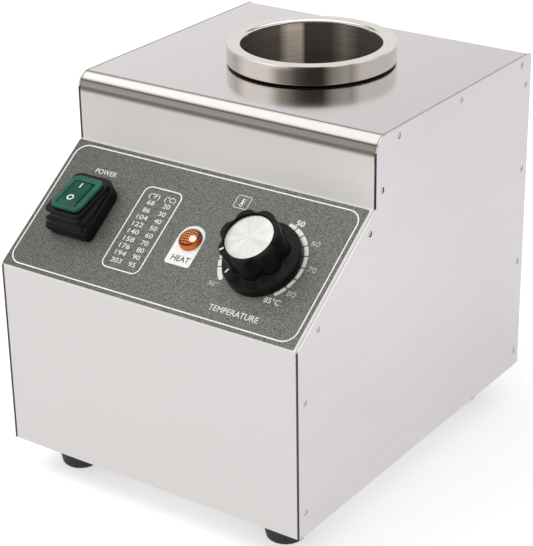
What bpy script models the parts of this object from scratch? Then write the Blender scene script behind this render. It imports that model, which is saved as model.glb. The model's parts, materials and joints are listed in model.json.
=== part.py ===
"""Countertop warmer for one bottle of hot fudge topping.

A bent sheet casing stands on four rubber feet. A heated well hangs from a thick collar in its
top. The sloping front carries a rocker switch in a rubber boot, a lamp and a heat knob.
Metres, +Z up. The front faces -Y. The origin is under the middle of the whole thing.
"""

from math import acos, atan2, cos, hypot, pi, radians, sin, tan

import bmesh
import bpy
from mathutils import Matrix, Vector

# Casing
body_width = 0.180
body_depth = 0.2195
body_height = 0.182
front_height = 0.100
slope_rise = 0.0467
slope_setback = 0.0662
nose_radius = 0.0085
bend_radius = 0.0015
sheet = 0.0010
lip_width = 0.012
relief = 0.0004
fit_gap = 0.0003
cut_over = 0.002
merge_reach = 0.00001

# Back panel and base pan
pan_wall = 0.016
vent_length = 0.040
vent_height = 0.003
vent_pitch = 0.009
vent_count = 6
vent_height_share = 0.60
base_vent_length = 0.050
base_vent_count = 4

# Casing screws: their distance in from the edge, and where they stand along each edge
screw_inset = 0.0055
top_screw_inset = 0.0042
screw_hole_radius = 0.0017
front_screw_shares = (0.130, 0.717)
slope_screw_shares = (0.201, 0.877)
riser_screw_shares = (0.23,)
top_screw_shares = (0.130, 0.517, 0.930)
rear_screw_shares = (0.054, 0.355, 0.652, 0.913)

# Back screws
pan_head_radius = 0.0030
pan_head_height = 0.0018
screw_shank_radius = 0.0014
screw_length = 0.008
back_top_shares = (-0.40, 0.0, 0.40)
back_low_shares = (-0.36, 0.36)
back_top_drop = 0.0075
back_low_rise = 0.0085

# Feet
foot_height = 0.0181
foot_top_radius = 0.0132
foot_bottom_radius = 0.00975
foot_round = 0.0022
foot_recess_radius = 0.0052
foot_recess_depth = 0.0110
foot_side_share = 0.366
foot_end_inset = 0.0236
foot_screw_radius = 0.0019
foot_screw_head_radius = 0.0040
foot_screw_head_height = 0.0026
foot_screw_length = 0.012

# Control label
label_thickness = 0.0003
label_gap = 0.0001
label_end_margin = 0.0009
label_right_margin = 0.0030
label_left_margin = 0.0003
label_corner = 0.0010

# Well, collar and gasket
well_place_share = 0.529
well_bore_radius = 0.0367
well_wall = 0.0010
well_floor_rise = 0.0444
well_floor_round = 0.006
well_flange_radius = 0.0425
collar_width = 0.0076
collar_height = 0.00975
collar_inner_round = 0.0016
collar_outer_round = 0.0004
gasket_thickness = 0.0005
gasket_inset = 0.0010
stud_radius = 0.0015
stud_length = 0.0085
stud_count = 3
stud_inset = 0.0034
nut_width = 0.0055
nut_height = 0.0024

# Heater band and its sleeve
band_thickness = 0.0030
band_room_share = 0.5714
band_rise = 0.008
band_gap = 0.008
ear_reach = 0.010
ear_thickness = 0.0012
band_screw_radius = 0.0015
band_screw_over = 0.004
sleeve_thickness = 0.0080
sleeve_over = 0.004
sleeve_gap = 0.030
band_turn = radians(-135)

# Thermal cut-out under the well
cutout_radius = 0.0080
cutout_height = 0.0065
cutout_flange_radius = 0.0095
cutout_flange = 0.0010
clip_thickness = 0.0010
clip_margin = 0.0030
clip_reach = 0.0150
clip_stud_length = 0.0060
clip_stud_radius = 0.0018
clip_nut_width = 0.0070

# Flat blade terminals
blade_width = 0.0063
blade_thickness = 0.0008
blade_length = 0.0080

# Thermostat
thermo_plate_width = 0.036
thermo_plate_length = 0.030
thermo_plate = 0.0015
thermo_can_width = 0.034
thermo_can_length = 0.028
thermo_can_depth = 0.024
thermo_blade_pitch = 0.010
thermo_screw_spacing = 0.028
thermo_screw_radius = 0.0019
thermo_head_radius = 0.0032
thermo_head_height = 0.0020
thermo_screw_length = 0.0060
bush_hole_radius = 0.0050
shaft_radius = 0.0030
shaft_flat = 0.0022
shaft_top = 0.0150
shaft_root = 0.0060

# Bulb of the thermostat, its tube and its clip
bulb_radius = 0.0030
bulb_band_gap = 0.012
bulb_top_gap = 0.0126
bulb_turn = radians(-48)
capillary_radius = 0.0008
clip_wall = 0.0008
bulb_clip_height = 0.012
bulb_clip_opening = radians(44)

# Knob
knob_place_shares = (0.2739, 0.4922)
knob_clearance = 0.0009
skirt_radius = 0.0201
skirt_top_radius = 0.0188
skirt_rim_height = 0.0042
skirt_dome = 0.0010
skirt_wall = 0.0021
skirt_cavity = 0.0028
grip_height = 0.0209
grip_radius = 0.0156
grip_taper = 0.0002
flute_depth = 0.0016
flute_count = 7
flute_turn = radians(-2.1)
flute_steps = 8
grip_bevel = 0.0005
cap_radius = 0.0123
cap_thickness = 0.0009
cap_recess = 0.0021
cap_bevel = 0.0002
hub_radius = 0.0075
grub_radius = 0.0015
grub_length = 0.0080
grub_height = 0.0100
grub_turn = radians(49.3)

# Rocker switch in its boot
switch_place_shares = (-0.3286, 0.4811)
pivot_height = 0.0045
rest_tilt = radians(-14.5)
boot_shift = 0.0015
boot_foot_width = 0.0300
boot_foot_length = 0.0330
boot_foot_corner = 0.0055
boot_foot_height = 0.0070
boot_draft = 0.0007
boot_fold_depth = 0.0011
boot_lip_width = 0.0246
boot_lip_length = 0.0298
boot_lip_corner = 0.0045
boot_lip_thickness = 0.0016
boot_wall = 0.0012
boot_fold_shares = (0.24, 0.48, 0.74)
rocker_width = 0.0205
rocker_length = 0.0250
rocker_corner = 0.0038
rocker_top = 0.0113
rocker_cap_thickness = 0.0018
rocker_bevel = 0.0005
window_width = 0.0120
window_length = 0.0145
window_shift = 0.0008
window_depth = 0.0009
neck_width = 0.0160
neck_length = 0.0182
neck_depth = 0.0015
pin_radius = 0.0014
switch_collar_width = 0.0216
switch_collar_length = 0.0246
switch_collar_height = 0.0074
switch_collar_wall = 0.0018
switch_flange_margin = 0.0008
switch_flange = 0.0014
switch_body_depth = 0.026
switch_body_inset = 0.0006
switch_cavity_depth = 0.0010
switch_corner = 0.0020
switch_blade_pitch = 0.012
latch_reach = 0.0009
latch_width = 0.006
latch_height = 0.003

# Lamp
lamp_place_shares = (0.0294, 0.507)
lens_radius = 0.00615
lens_rim = 0.0012
lens_dome = 0.0033
lens_skirt_radius = 0.0046
lens_skirt_wall = 0.0009
lens_skirt_length = 0.0070
lamp_body_length = 0.018
lamp_nut_width = 0.014
lamp_nut_height = 0.003
lamp_lead_pitch = 0.0044

# Cord gland
gland_side_share = -0.30
gland_rise = 0.0305
gland_thread_radius = 0.0078
gland_bore_radius = 0.0042
gland_hex_width = 0.022
gland_hex_height = 0.005
gland_dome_radius = 0.0100
gland_dome_length = 0.012
gland_mouth_radius = 0.0060
gland_thread_length = 0.009
gland_nut_height = 0.005

# Terminal block and earth stud
block_way_pitch = 0.0085
block_ways = 5
block_end_wall = 0.0045
block_length = 0.018
block_height = 0.016
block_side_share = -0.22
block_back_gap = 0.040
block_way_radius = 0.0018
block_way_depth = 0.006
block_screw_radius = 0.0022
block_screw_depth = 0.005
earth_foot_gap = 0.005
earth_back_gap = 0.030
earth_stud_radius = 0.0019
earth_stud_above = 0.010

# Wires, and what each passes on its way, as shares of the casing's width, depth and height
wire_radius = 0.0011
wire_straight = 0.0062
wire_lead = 0.010
wire_swing = 0.016
wire_samples = 3
band_lead_offset = 0.010
band_lead_rise = 0.012
live_route_shares = [(-0.39, 0.60, 0.07), (-0.43, 0.41, 0.17), (-0.39, 0.32, 0.38)]
switch_route_shares = [(-0.11, 0.29, 0.43), (0.11, 0.29, 0.43)]
cutout_route_shares = [(0.29, 0.37, 0.32), (0.22, 0.50, 0.12), (0.06, 0.62, 0.07)]
heater_route_shares = [(-0.17, 0.58, 0.11), (-0.20, 0.455, 0.19), (-0.19, 0.43, 0.29)]
neutral_route_shares = [(-0.32, 0.64, 0.12), (-0.325, 0.54, 0.23)]
earth_route_shares = [(0.03, 0.71, 0.035), (0.22, 0.74, 0.035)]
lamp_route_shares = [(-0.03, 0.25, 0.32), (-0.135, 0.33, 0.09), (-0.185, 0.50, 0.04)]
capillary_route_shares = [(0.215, 0.42, 0.62), (0.27, 0.36, 0.48)]

# Worked out from the sizes above
half_width = body_width / 2
shell_half = half_width - sheet - fit_gap
lip_face = shell_half - sheet
pan_half = lip_face - fit_gap
slope_length = hypot(slope_setback, slope_rise)
slope_angle = atan2(slope_rise, slope_setback)
slope_turn = pi / 2 - slope_angle
back_face = body_depth - sheet - fit_gap
top_depth = body_depth - slope_setback
well_y = slope_setback + well_place_share * top_depth
well_outer = well_bore_radius + well_wall
collar_outer = well_bore_radius + collar_width
collar_low = body_height + fit_gap + gasket_thickness + fit_gap
gland_reach = fit_gap + gland_hex_height + gland_dome_length
half_depth = (body_depth + gland_reach) / 2
seat = label_gap + label_thickness + fit_gap
under = -sheet - fit_gap
pan_top = sheet + fit_gap
switch_body_width = switch_collar_width - 2 * switch_body_inset
switch_body_length = switch_collar_length - 2 * switch_body_inset
knob_place = (knob_place_shares[0] * body_width, knob_place_shares[1] * slope_length)
switch_place = (switch_place_shares[0] * body_width, switch_place_shares[1] * slope_length)
lamp_place = (lamp_place_shares[0] * body_width, lamp_place_shares[1] * slope_length)
block_place = (block_side_share * body_width, body_depth - block_back_gap)
earth_place = (foot_side_share * body_width - foot_top_radius - earth_foot_gap,
               body_depth - earth_back_gap)
band_inner = well_outer + fit_gap
band_outer = band_inner + band_thickness
band_low = well_floor_rise + band_rise
heater_room = body_height - bulb_top_gap - bulb_band_gap - band_low
band_height = band_room_share * heater_room
bulb_length = heater_room - band_height
way_height = pan_top + block_height / 2

steel = (0.62, 0.60, 0.58)
black_rubber = (0.020, 0.020, 0.022)
black_plastic = (0.025, 0.025, 0.027)
arc_steps = 4
nose_steps = 12
hole_steps = 12
well_steps = 64


def clear_scene():
    for obj in list(bpy.data.objects):
        bpy.data.objects.remove(obj, do_unlink=True)


def new_collection(name):
    group = bpy.data.collections.new(name)
    bpy.context.scene.collection.children.link(group)
    return group


def empty(name, parent=None, location=(0, 0, 0), rotation=(0, 0, 0)):
    obj = bpy.data.objects.new(name, None)
    parts.objects.link(obj)
    return place(obj, parent, location, rotation)


def place(obj, parent, location=(0, 0, 0), rotation=(0, 0, 0)):
    obj.parent = parent
    obj.location = location
    obj.rotation_euler = rotation
    return obj


def paint(obj, colour, roughness, metallic=0.0):
    """Give the piece its own material."""
    material = bpy.data.materials.new(obj.name)
    material.use_nodes = True
    shader = material.node_tree.nodes["Principled BSDF"]
    shader.inputs["Base Color"].default_value = (*colour, 1.0)
    shader.inputs["Roughness"].default_value = roughness
    shader.inputs["Metallic"].default_value = metallic
    obj.data.materials.append(material)
    return obj


def from_bmesh(name, bm, group=None, smooth=True):
    """Turn a bmesh into an object, smooth apart from its sharp edges."""
    mesh = bpy.data.meshes.new(name)
    bm.to_mesh(mesh)
    bm.free()
    if smooth:
        mesh.shade_smooth()
        mesh.set_sharp_from_angle(angle=radians(35))
    obj = bpy.data.objects.new(name, mesh)
    (group or parts).objects.link(obj)
    return obj


def turned(name, profile, steps, closed=False):
    """Screw a profile of (radius, height) points once round Z."""
    mesh = bpy.data.meshes.new(name)
    count = len(profile)
    edges = [(i, i + 1) for i in range(count - 1)]
    if closed:
        edges.append((count - 1, 0))
    mesh.from_pydata([(r, 0, z) for r, z in profile], edges, [])
    obj = bpy.data.objects.new(name, mesh)
    parts.objects.link(obj)
    screw = obj.modifiers.new("turn", "SCREW")
    screw.axis = "Z"
    screw.angle = 2 * pi
    screw.steps = steps
    screw.render_steps = steps
    screw.use_merge_vertices = True
    screw.merge_threshold = merge_reach
    return obj


def loft(name, rings, looped=False):
    """Bridge rings of equal count. Ends are capped, or joined to each other when looped."""
    bm = bmesh.new()
    rows = [[bm.verts.new(p) for p in ring] for ring in rings]
    if looped:
        rows.append(rows[0])
    count = len(rows[0])
    for low, high in zip(rows, rows[1:]):
        for i in range(count):
            j = (i + 1) % count
            bm.faces.new((low[i], low[j], high[j], high[i]))
    if not looped:
        bm.faces.new(rows[0])
        bm.faces.new(rows[-1])
    bmesh.ops.recalc_face_normals(bm, faces=bm.faces)
    return from_bmesh(name, bm)


def flat_outline(name, loops, thickness, low=0.0, group=None):
    """Fill an outline and its holes, from local Z low up by the thickness."""
    curve = bpy.data.curves.new(name, "CURVE")
    curve.dimensions = "2D"
    curve.fill_mode = "BOTH"
    curve.extrude = thickness / 2
    for loop in loops:
        spline = curve.splines.new("POLY")
        spline.points.add(len(loop) - 1)
        for point, (x, y) in zip(spline.points, loop):
            point.co = (x, y, 0, 1)
        spline.use_cyclic_u = True
    drawn = bpy.data.objects.new(name + "_curve", curve)
    parts.objects.link(drawn)
    depsgraph = bpy.context.evaluated_depsgraph_get()
    mesh = bpy.data.meshes.new_from_object(drawn.evaluated_get(depsgraph))
    bpy.data.objects.remove(drawn, do_unlink=True)
    bm = bmesh.new()
    bm.from_mesh(mesh)
    bpy.data.meshes.remove(mesh)
    bmesh.ops.remove_doubles(bm, verts=bm.verts, dist=merge_reach)
    bmesh.ops.translate(bm, verts=bm.verts, vec=(0, 0, low + thickness / 2))
    bmesh.ops.recalc_face_normals(bm, faces=bm.faces)
    return from_bmesh(name, bm, group, smooth=False)


def circle(radius, steps=hole_steps, centre=(0, 0), start=0.0):
    """Points all round a circle."""
    angles = [start + 2 * pi * i / steps for i in range(steps)]
    return [(centre[0] + radius * cos(a), centre[1] + radius * sin(a)) for a in angles]


def arc(radius, steps, centre, start, sweep):
    """Points along an arc, with both its ends."""
    angles = [start + sweep * i / steps for i in range(steps + 1)]
    return [(centre[0] + radius * cos(a), centre[1] + radius * sin(a)) for a in angles]


def rounded_rectangle(width, length, radius, steps=arc_steps, centre=(0, 0)):
    """Outline of a rectangle whose corners are quarter circles."""
    points = []
    for index, (sx, sy) in enumerate(((1, 1), (-1, 1), (-1, -1), (1, -1))):
        corner = (centre[0] + sx * (width / 2 - radius), centre[1] + sy * (length / 2 - radius))
        points += arc(radius, steps, corner, index * pi / 2, pi / 2)
    return points


def hexagon(across_flats):
    """Hexagon with a flat towards +X."""
    return circle(across_flats / 2 / cos(pi / 6), 6, start=pi / 6)


def split_ring(inner, outer, gap, steps):
    """Outline of a ring cut open by a gap at angle 0."""
    loop = arc(outer, steps, (0, 0), gap / 2 / outer, 2 * pi - gap / outer)
    back = arc(inner, steps, (0, 0), gap / 2 / inner, 2 * pi - gap / inner)
    return loop + back[::-1]


def drill(name, holes, parent, steps=hole_steps):
    """One cutter for many round holes, each (start, end, radius)."""
    bm = bmesh.new()
    for start, end, radius in holes:
        start, end = Vector(start), Vector(end)
        turn = (end - start).to_track_quat("Z", "Y").to_matrix().to_4x4()
        bmesh.ops.create_cone(bm, cap_ends=True, segments=steps, radius1=radius,
                              radius2=radius, depth=(end - start).length,
                              matrix=Matrix.Translation((start + end) / 2) @ turn)
    return hide(from_bmesh(name, bm, cutters, smooth=False), parent)


def boxes(name, spans, parent):
    """One cutter or addition made of boxes, each (low corner, high corner)."""
    bm = bmesh.new()
    for low, high in spans:
        low, high = Vector(low), Vector(high)
        made = bmesh.ops.create_cube(bm, size=1.0)["verts"]
        bmesh.ops.scale(bm, verts=made, vec=high - low)
        bmesh.ops.translate(bm, verts=made, vec=(low + high) / 2)
    return hide(from_bmesh(name, bm, cutters, smooth=False), parent)


def hide(obj, parent=None):
    obj.hide_render = True
    obj.display_type = "WIRE"
    obj.parent = parent
    return obj


def boolean(target, other, operation):
    modifier = target.modifiers.new(other.name, "BOOLEAN")
    modifier.operation = operation
    modifier.solver = "EXACT"
    modifier.object = other


def cut(target, *others):
    for other in others:
        boolean(target, other, "DIFFERENCE")


def join(target, *others):
    for other in others:
        boolean(target, other, "UNION")


def fillet(before, corner, after, radius):
    """Arc that rounds a corner, from one tangent point to the other."""
    steps = nose_steps if radius == nose_radius else arc_steps
    into = (corner - before).normalized()
    out = (after - corner).normalized()
    turn = atan2(into.x * out.y - into.y * out.x, into.dot(out))
    reach = radius * tan(abs(turn) / 2)
    side = 1 if turn > 0 else -1
    start = corner - into * reach
    centre = start + Vector((-into.y, into.x)) * side * radius
    arm = start - centre
    points = []
    for i in range(steps + 1):
        angle = turn * i / steps
        points.append(centre + Vector((arm.x * cos(angle) - arm.y * sin(angle),
                                       arm.x * sin(angle) + arm.y * cos(angle))))
    return points


def bend_path(corners, radii, lips):
    """Points of a path through rounded corners, each with a mark where a lip starts there.
    lips maps a run to what its lip leaves free at each end, counted from the corners."""
    corners = [Vector(c) for c in corners]
    path = []
    for run, (start, end) in enumerate(zip(corners, corners[1:])):
        along = (end - start).normalized()
        if run and radii[run]:
            path += [(p, False) for p in fillet(corners[run - 1], start, end, radii[run])]
        else:
            path.append((start, False))
        if run in lips:
            first, last = lips[run]
            if first:
                path.append((start + along * first, True))
            else:
                path[-1] = (path[-1][0], True)
            if last:
                path.append((end - along * last, False))
    path.append((corners[-1], False))
    return path


def bent_sheet(name, corners, radii, lips, half, depth):
    """A sheet bent along a (y, z) path, with a lip along both sides. Its outer face is the
    path, and the sheet and the lips lie to the right of the way it runs."""
    bm = bmesh.new()
    path = bend_path(corners, radii, lips)
    left = [bm.verts.new((-half, y, z)) for (y, z), _ in path]
    right = [bm.verts.new((half, y, z)) for (y, z), _ in path]
    for i, ((start, lipped), (end, _)) in enumerate(zip(path, path[1:])):
        bm.faces.new((left[i], right[i], right[i + 1], left[i + 1]))
        if not lipped:
            continue
        along = (end - start).normalized()
        inward = Vector((along.y, -along.x)) * depth
        for side, row in ((1, right), (-1, left)):
            near = bm.verts.new((side * half, *(start + inward)))
            far = bm.verts.new((side * half, *(end + inward)))
            ring = (row[i], near, far, row[i + 1])
            bm.faces.new(ring if side > 0 else ring[::-1])
    obj = from_bmesh(name, bm, smooth=False)
    wall = obj.modifiers.new("sheet", "SOLIDIFY")
    wall.thickness = sheet
    wall.offset = -1
    wall.use_even_offset = True
    wall.use_quality_normals = True
    return obj


def smooth_route(points, samples):
    """Points of a smooth curve through every point of a route. Short legs set its direction."""
    legs = [b - a for a, b in zip(points, points[1:])]
    aims = [legs[0].normalized()]
    for before, after in zip(legs, legs[1:]):
        aims.append((before / before.length_squared + after / after.length_squared).normalized())
    aims.append(legs[-1].normalized())
    dots = []
    for a, leg, leave, arrive in zip(points, legs, aims, aims[1:]):
        reach = min(leg.length, wire_swing)
        for i in range(samples):
            t = i / samples
            bow = leave * (1 - t) - arrive * t
            dots.append(a + leg * t * t * (3 - 2 * t) + bow * reach * t * (1 - t))
    return dots + [points[-1]]


def tube(name, dots, radii, parent):
    """A round tube through points, with a radius at each."""
    curve = bpy.data.curves.new(name, "CURVE")
    curve.dimensions = "3D"
    curve.bevel_depth = wire_radius
    curve.bevel_resolution = 2
    curve.use_fill_caps = True
    spline = curve.splines.new("POLY")
    spline.points.add(len(dots) - 1)
    for point, dot, radius in zip(spline.points, dots, radii):
        point.co = (*dot, 1)
        point.radius = radius / wire_radius
    obj = bpy.data.objects.new(name, curve)
    parts.objects.link(obj)
    return place(obj, parent)


def screw_profile(head_radius, head_height, shank_radius, length):
    """Screw hanging below local Z 0, its low dome head above."""
    return [(0, head_height), (head_radius * 0.6, head_height * 0.9),
            (head_radius, head_height * 0.4), (head_radius, 0), (shank_radius, 0),
            (shank_radius, -length), (0, -length)]


def convex_trim(turn, radius):
    """What a lip leaves free at a corner where its neighbour has a lip too."""
    return max(lip_width, radius) * tan(turn / 2) + relief


def casing_outline():
    """Outer outline of the casing seen from the side, from front bottom to back bottom."""
    corners = [(0, 0), (0, front_height), (slope_setback, front_height + slope_rise),
               (slope_setback, body_height), (body_depth, body_height), (body_depth, 0)]
    radii = (0, bend_radius, bend_radius, nose_radius, bend_radius, 0)
    return corners, radii


def side_screws():
    """Places (y, z) of the screws in one side, over the underside of the body."""
    into = Vector((sin(slope_angle), -cos(slope_angle)))
    up = Vector((cos(slope_angle), sin(slope_angle)))
    foot_of_slope = Vector((0, front_height))
    riser = body_height - front_height - slope_rise
    places = [(screw_inset, s * front_height) for s in front_screw_shares]
    places += [tuple(foot_of_slope + up * s * slope_length + into * screw_inset)
               for s in slope_screw_shares]
    places += [(slope_setback + screw_inset, front_height + slope_rise + s * riser)
               for s in riser_screw_shares]
    places += [(slope_setback + s * top_depth, body_height - top_screw_inset)
               for s in top_screw_shares]
    places += [(body_depth - screw_inset, s * body_height) for s in rear_screw_shares]
    return places


def side_drill(name):
    """Holes for the side screws through the lips behind the side panels."""
    start = pan_half - sheet - cut_over
    end = shell_half + cut_over
    holes = [((side * start, y, z), (side * end, y, z), screw_hole_radius)
             for side in (-1, 1) for y, z in side_screws()]
    return drill(name, holes, casing)


def back_drill(name, shares, height):
    """Holes for one row of back screws, through the back panel and what is behind it."""
    start = back_face - sheet - cut_over
    end = body_depth + cut_over
    holes = [((s * body_width, start, height), (s * body_width, end, height),
              screw_hole_radius) for s in shares]
    return drill(name, holes, casing)


def from_slope(u, v, h):
    """Casing coordinates of a point over the sloping panel."""
    return Vector((u, v * cos(slope_angle) - h * sin(slope_angle),
                   front_height + v * sin(slope_angle) + h * cos(slope_angle)))


def build_wrap():
    """Front, slope, riser, nose and top in one bent sheet, down to a flange at the back."""
    corners, radii = casing_outline()
    corners = corners[:4] + [(back_face, body_height), (back_face, body_height - lip_width)]
    low_trim = convex_trim(slope_turn, bend_radius)
    nose_trim = convex_trim(pi / 2, nose_radius)
    lips = {0: (0, low_trim),
            1: (low_trim, bend_radius + relief),
            2: (bend_radius + relief, nose_trim),
            3: (nose_trim, bend_radius + sheet + relief)}
    wrap = bent_sheet("wrap_shell", corners, radii, lips, shell_half, lip_width)
    place(paint(wrap, steel, 0.28, 1.0), casing)
    low = body_height - sheet - cut_over
    high = body_height + cut_over
    well_hole = drill("well_hole", [((0, well_y, low), (0, well_y, high),
                                     well_outer + fit_gap)], casing, well_steps)
    studs = [((x, well_y + y, low), (x, well_y + y, high), stud_radius + fit_gap)
             for x, y in stud_places()]
    cut(wrap, well_hole, drill("stud_holes", studs, casing), side_drill("lip_holes"),
        back_drill("flange_holes", back_top_shares, body_height - back_top_drop),
        *panel_cutters())


def stud_places():
    """Places of the collar's studs, counted from the well's axis."""
    return circle(collar_outer - stud_inset, stud_count, start=pi / 2)


def thermo_screw_places():
    """Places of the thermostat's two screws on the sloping panel."""
    u, v = knob_place
    return [(u + side * thermo_screw_spacing / 2, v) for side in (-1, 1)]


def panel_cutters():
    """Holes through the slope for the switch, the lamp, the shaft and its screws."""
    low = -sheet - cut_over
    high = cut_over
    round_holes = [(knob_place, bush_hole_radius), (lamp_place, lens_skirt_radius + fit_gap)]
    round_holes += [(p, thermo_screw_radius + fit_gap) for p in thermo_screw_places()]
    holes = [((u, v, low), (u, v, high), radius) for (u, v), radius in round_holes]
    half_u = switch_body_width / 2 + fit_gap
    half_v = switch_body_length / 2 + fit_gap
    u, v = switch_place
    opening = ((u - half_u, v - half_v, low), (u + half_u, v + half_v, high))
    return drill("panel_holes", holes, slope, 20), boxes("switch_hole", [opening], slope)


def build_sides():
    """Flat side panels with the casing's outline and a hole for each screw."""
    corners, radii = casing_outline()
    loop = [tuple(p) for p, _ in bend_path(corners, radii, {})]
    holes = [circle(screw_hole_radius, hole_steps, p) for p in side_screws()]
    for name, x in (("side_panel_left", -half_width), ("side_panel_right", half_width - sheet)):
        panel = flat_outline(name, [loop, *holes], sheet)
        place(paint(panel, steel, 0.30, 1.0), casing, (x, 0, 0), (pi / 2, 0, pi / 2))


def build_back():
    """Back panel with side flanges, vents, a cord hole and its screws."""
    top = body_height - bend_radius - sheet - fit_gap
    corners = [(body_depth, top), (body_depth, 0)]
    lip_start = top - (body_height - lip_width - relief - sheet)
    lips = {0: (lip_start, sheet + relief)}
    panel = bent_sheet("back_panel", corners, (0, 0), lips, shell_half, lip_width)
    place(paint(panel, steel, 0.34, 1.0), casing)
    inner = back_face - cut_over
    outer = body_depth + cut_over
    first = body_height * vent_height_share - (vent_count - 1) * vent_pitch / 2
    spans = []
    for row in range(vent_count):
        z = first + row * vent_pitch
        for side in (-1, 1):
            near = side * vent_pitch / 2
            far = side * (vent_pitch / 2 + vent_length)
            spans.append(((min(near, far), inner, z), (max(near, far), outer, z + vent_height)))
    x = gland_side_share * body_width
    hole = [((x, inner, gland_rise), (x, outer, gland_rise), gland_thread_radius + fit_gap)]
    top_row = body_height - back_top_drop
    cut(panel, boxes("back_vents", spans, casing), drill("gland_hole", hole, casing, 24),
        side_drill("back_lip_holes"), back_drill("back_top_holes", back_top_shares, top_row),
        back_drill("back_low_holes", back_low_shares, back_low_rise))
    places = [(s, top_row) for s in back_top_shares]
    places += [(s, back_low_rise) for s in back_low_shares]
    profile = screw_profile(pan_head_radius, pan_head_height, screw_shank_radius, screw_length)
    for i, (share, z) in enumerate(places):
        screw = turned(f"back_screw_{i + 1}", profile, hole_steps)
        place(paint(screw, steel, 0.35, 1.0), casing,
              (share * body_width, body_depth + fit_gap, z), (-pi / 2, 0, 0))


def foot_places():
    """Places of the feet, counted from the casing's front bottom edge."""
    ends = (foot_end_inset, body_depth - foot_end_inset)
    return [(side * foot_side_share * body_width, y) for y in ends for side in (-1, 1)]


def build_base():
    """Base pan: a floor with four walls turned up inside the casing."""
    front = sheet + fit_gap
    corners = [(back_face, pan_wall), (back_face, 0), (front, 0), (front, pan_wall)]
    lips = {1: (bend_radius + sheet + relief, bend_radius + sheet + relief)}
    radii = (0, bend_radius, bend_radius, 0)
    pan = bent_sheet("base_pan", corners, radii, lips, pan_half, pan_wall)
    place(paint(pan, steel, 0.42, 1.0), casing)
    low = -cut_over
    high = sheet + cut_over
    holes = [((x, y, low), (x, y, high), foot_screw_radius + fit_gap) for x, y in foot_places()]
    x, y = earth_place
    holes.append(((x, y, low), (x, y, high), earth_stud_radius + fit_gap))
    spans = []
    for i in range(base_vent_count):
        y = well_y + (i - (base_vent_count - 1) / 2) * vent_pitch
        spans.append(((-base_vent_length / 2, y - vent_height / 2, low),
                      (base_vent_length / 2, y + vent_height / 2, high)))
    cut(pan, drill("pan_holes", holes, casing), boxes("pan_vents", spans, casing),
        side_drill("pan_lip_holes"), back_drill("pan_low_holes", back_low_shares, back_low_rise))


def build_feet():
    """Tapered rubber feet, each held by a screw up its recess."""
    top = foot_height - fit_gap
    slant = (foot_top_radius - foot_bottom_radius) / foot_height
    edge = foot_bottom_radius + slant * foot_round
    hole = foot_screw_radius + fit_gap
    profile = [(foot_top_radius, top), (edge, foot_round)]
    profile += [(edge - foot_round * (1 - cos(a)), foot_round * (1 - sin(a)))
                for a in (pi / 6, pi / 3, pi / 2)]
    profile += [(foot_recess_radius, 0), (foot_recess_radius, foot_recess_depth),
                (hole, foot_recess_depth), (hole, top)]
    screw_points = screw_profile(foot_screw_head_radius, foot_screw_head_height,
                                 foot_screw_radius, foot_screw_length)
    for i, (x, y) in enumerate(foot_places()):
        foot = turned(f"foot_{i + 1}", profile, 20, closed=True)
        place(paint(foot, black_rubber, 0.62), casing, (x, y, -foot_height))
        screw = turned(f"foot_screw_{i + 1}", screw_points, hole_steps)
        place(paint(screw, steel, 0.35, 1.0), casing,
              (x, y, foot_recess_depth - fit_gap - foot_height), (pi, 0, 0))


def build_label():
    """Printed film over the slope, cut out round all that stands on it."""
    left = -shell_half + label_left_margin
    right = half_width - label_right_margin
    high = slope_length - label_end_margin
    loops = [rounded_rectangle(right - left, high - label_end_margin, label_corner, 2,
                               ((left + right) / 2, (high + label_end_margin) / 2)),
             circle(bush_hole_radius + fit_gap, 16, knob_place),
             circle(lens_skirt_radius + fit_gap, 16, lamp_place)]
    loops += [circle(thermo_head_radius + fit_gap, hole_steps, p)
              for p in thermo_screw_places()]
    margin = 2 * (switch_flange_margin + fit_gap)
    loops.append(rounded_rectangle(switch_collar_width + margin, switch_collar_length + margin,
                                   switch_corner, 2, switch_place))
    label = flat_outline("control_label", loops, label_thickness)
    place(paint(label, (0.17, 0.18, 0.165), 0.5), slope, (0, 0, label_gap))


def build_well():
    """Flanged cup of the well. Its flange lies between the collar and the gasket."""
    floor_top = well_floor_rise + well_wall
    outer_arc = [pi / 6 * i for i in range(4)]
    bend = well_floor_round
    inner_bend = bend - well_wall
    profile = [(0, floor_top)]
    profile += [(well_bore_radius - inner_bend * (1 - cos(a)),
                 floor_top + inner_bend * (1 - sin(a))) for a in reversed(outer_arc)]
    profile += [(well_bore_radius, collar_low + well_wall),
                (well_flange_radius, collar_low + well_wall),
                (well_flange_radius, collar_low), (well_outer, collar_low)]
    profile += [(well_outer - bend * (1 - cos(a)), well_floor_rise + bend * (1 - sin(a)))
                for a in outer_arc]
    profile.append((0, well_floor_rise))
    well = turned("well_cup", profile, well_steps)
    place(paint(well, steel, 0.30, 1.0), casing, (0, well_y, 0))
    holes = [((x, y, collar_low - cut_over), (x, y, collar_low + well_wall + cut_over),
              stud_radius + fit_gap) for x, y in stud_places()]
    cut(well, drill("flange_stud_holes", holes, well))
    stud = ((clip_reach, 0, well_floor_rise - clip_stud_length),
            (clip_reach, 0, well_floor_rise + well_wall / 2), clip_stud_radius)
    join(well, drill("clip_stud", [stud], well))


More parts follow.
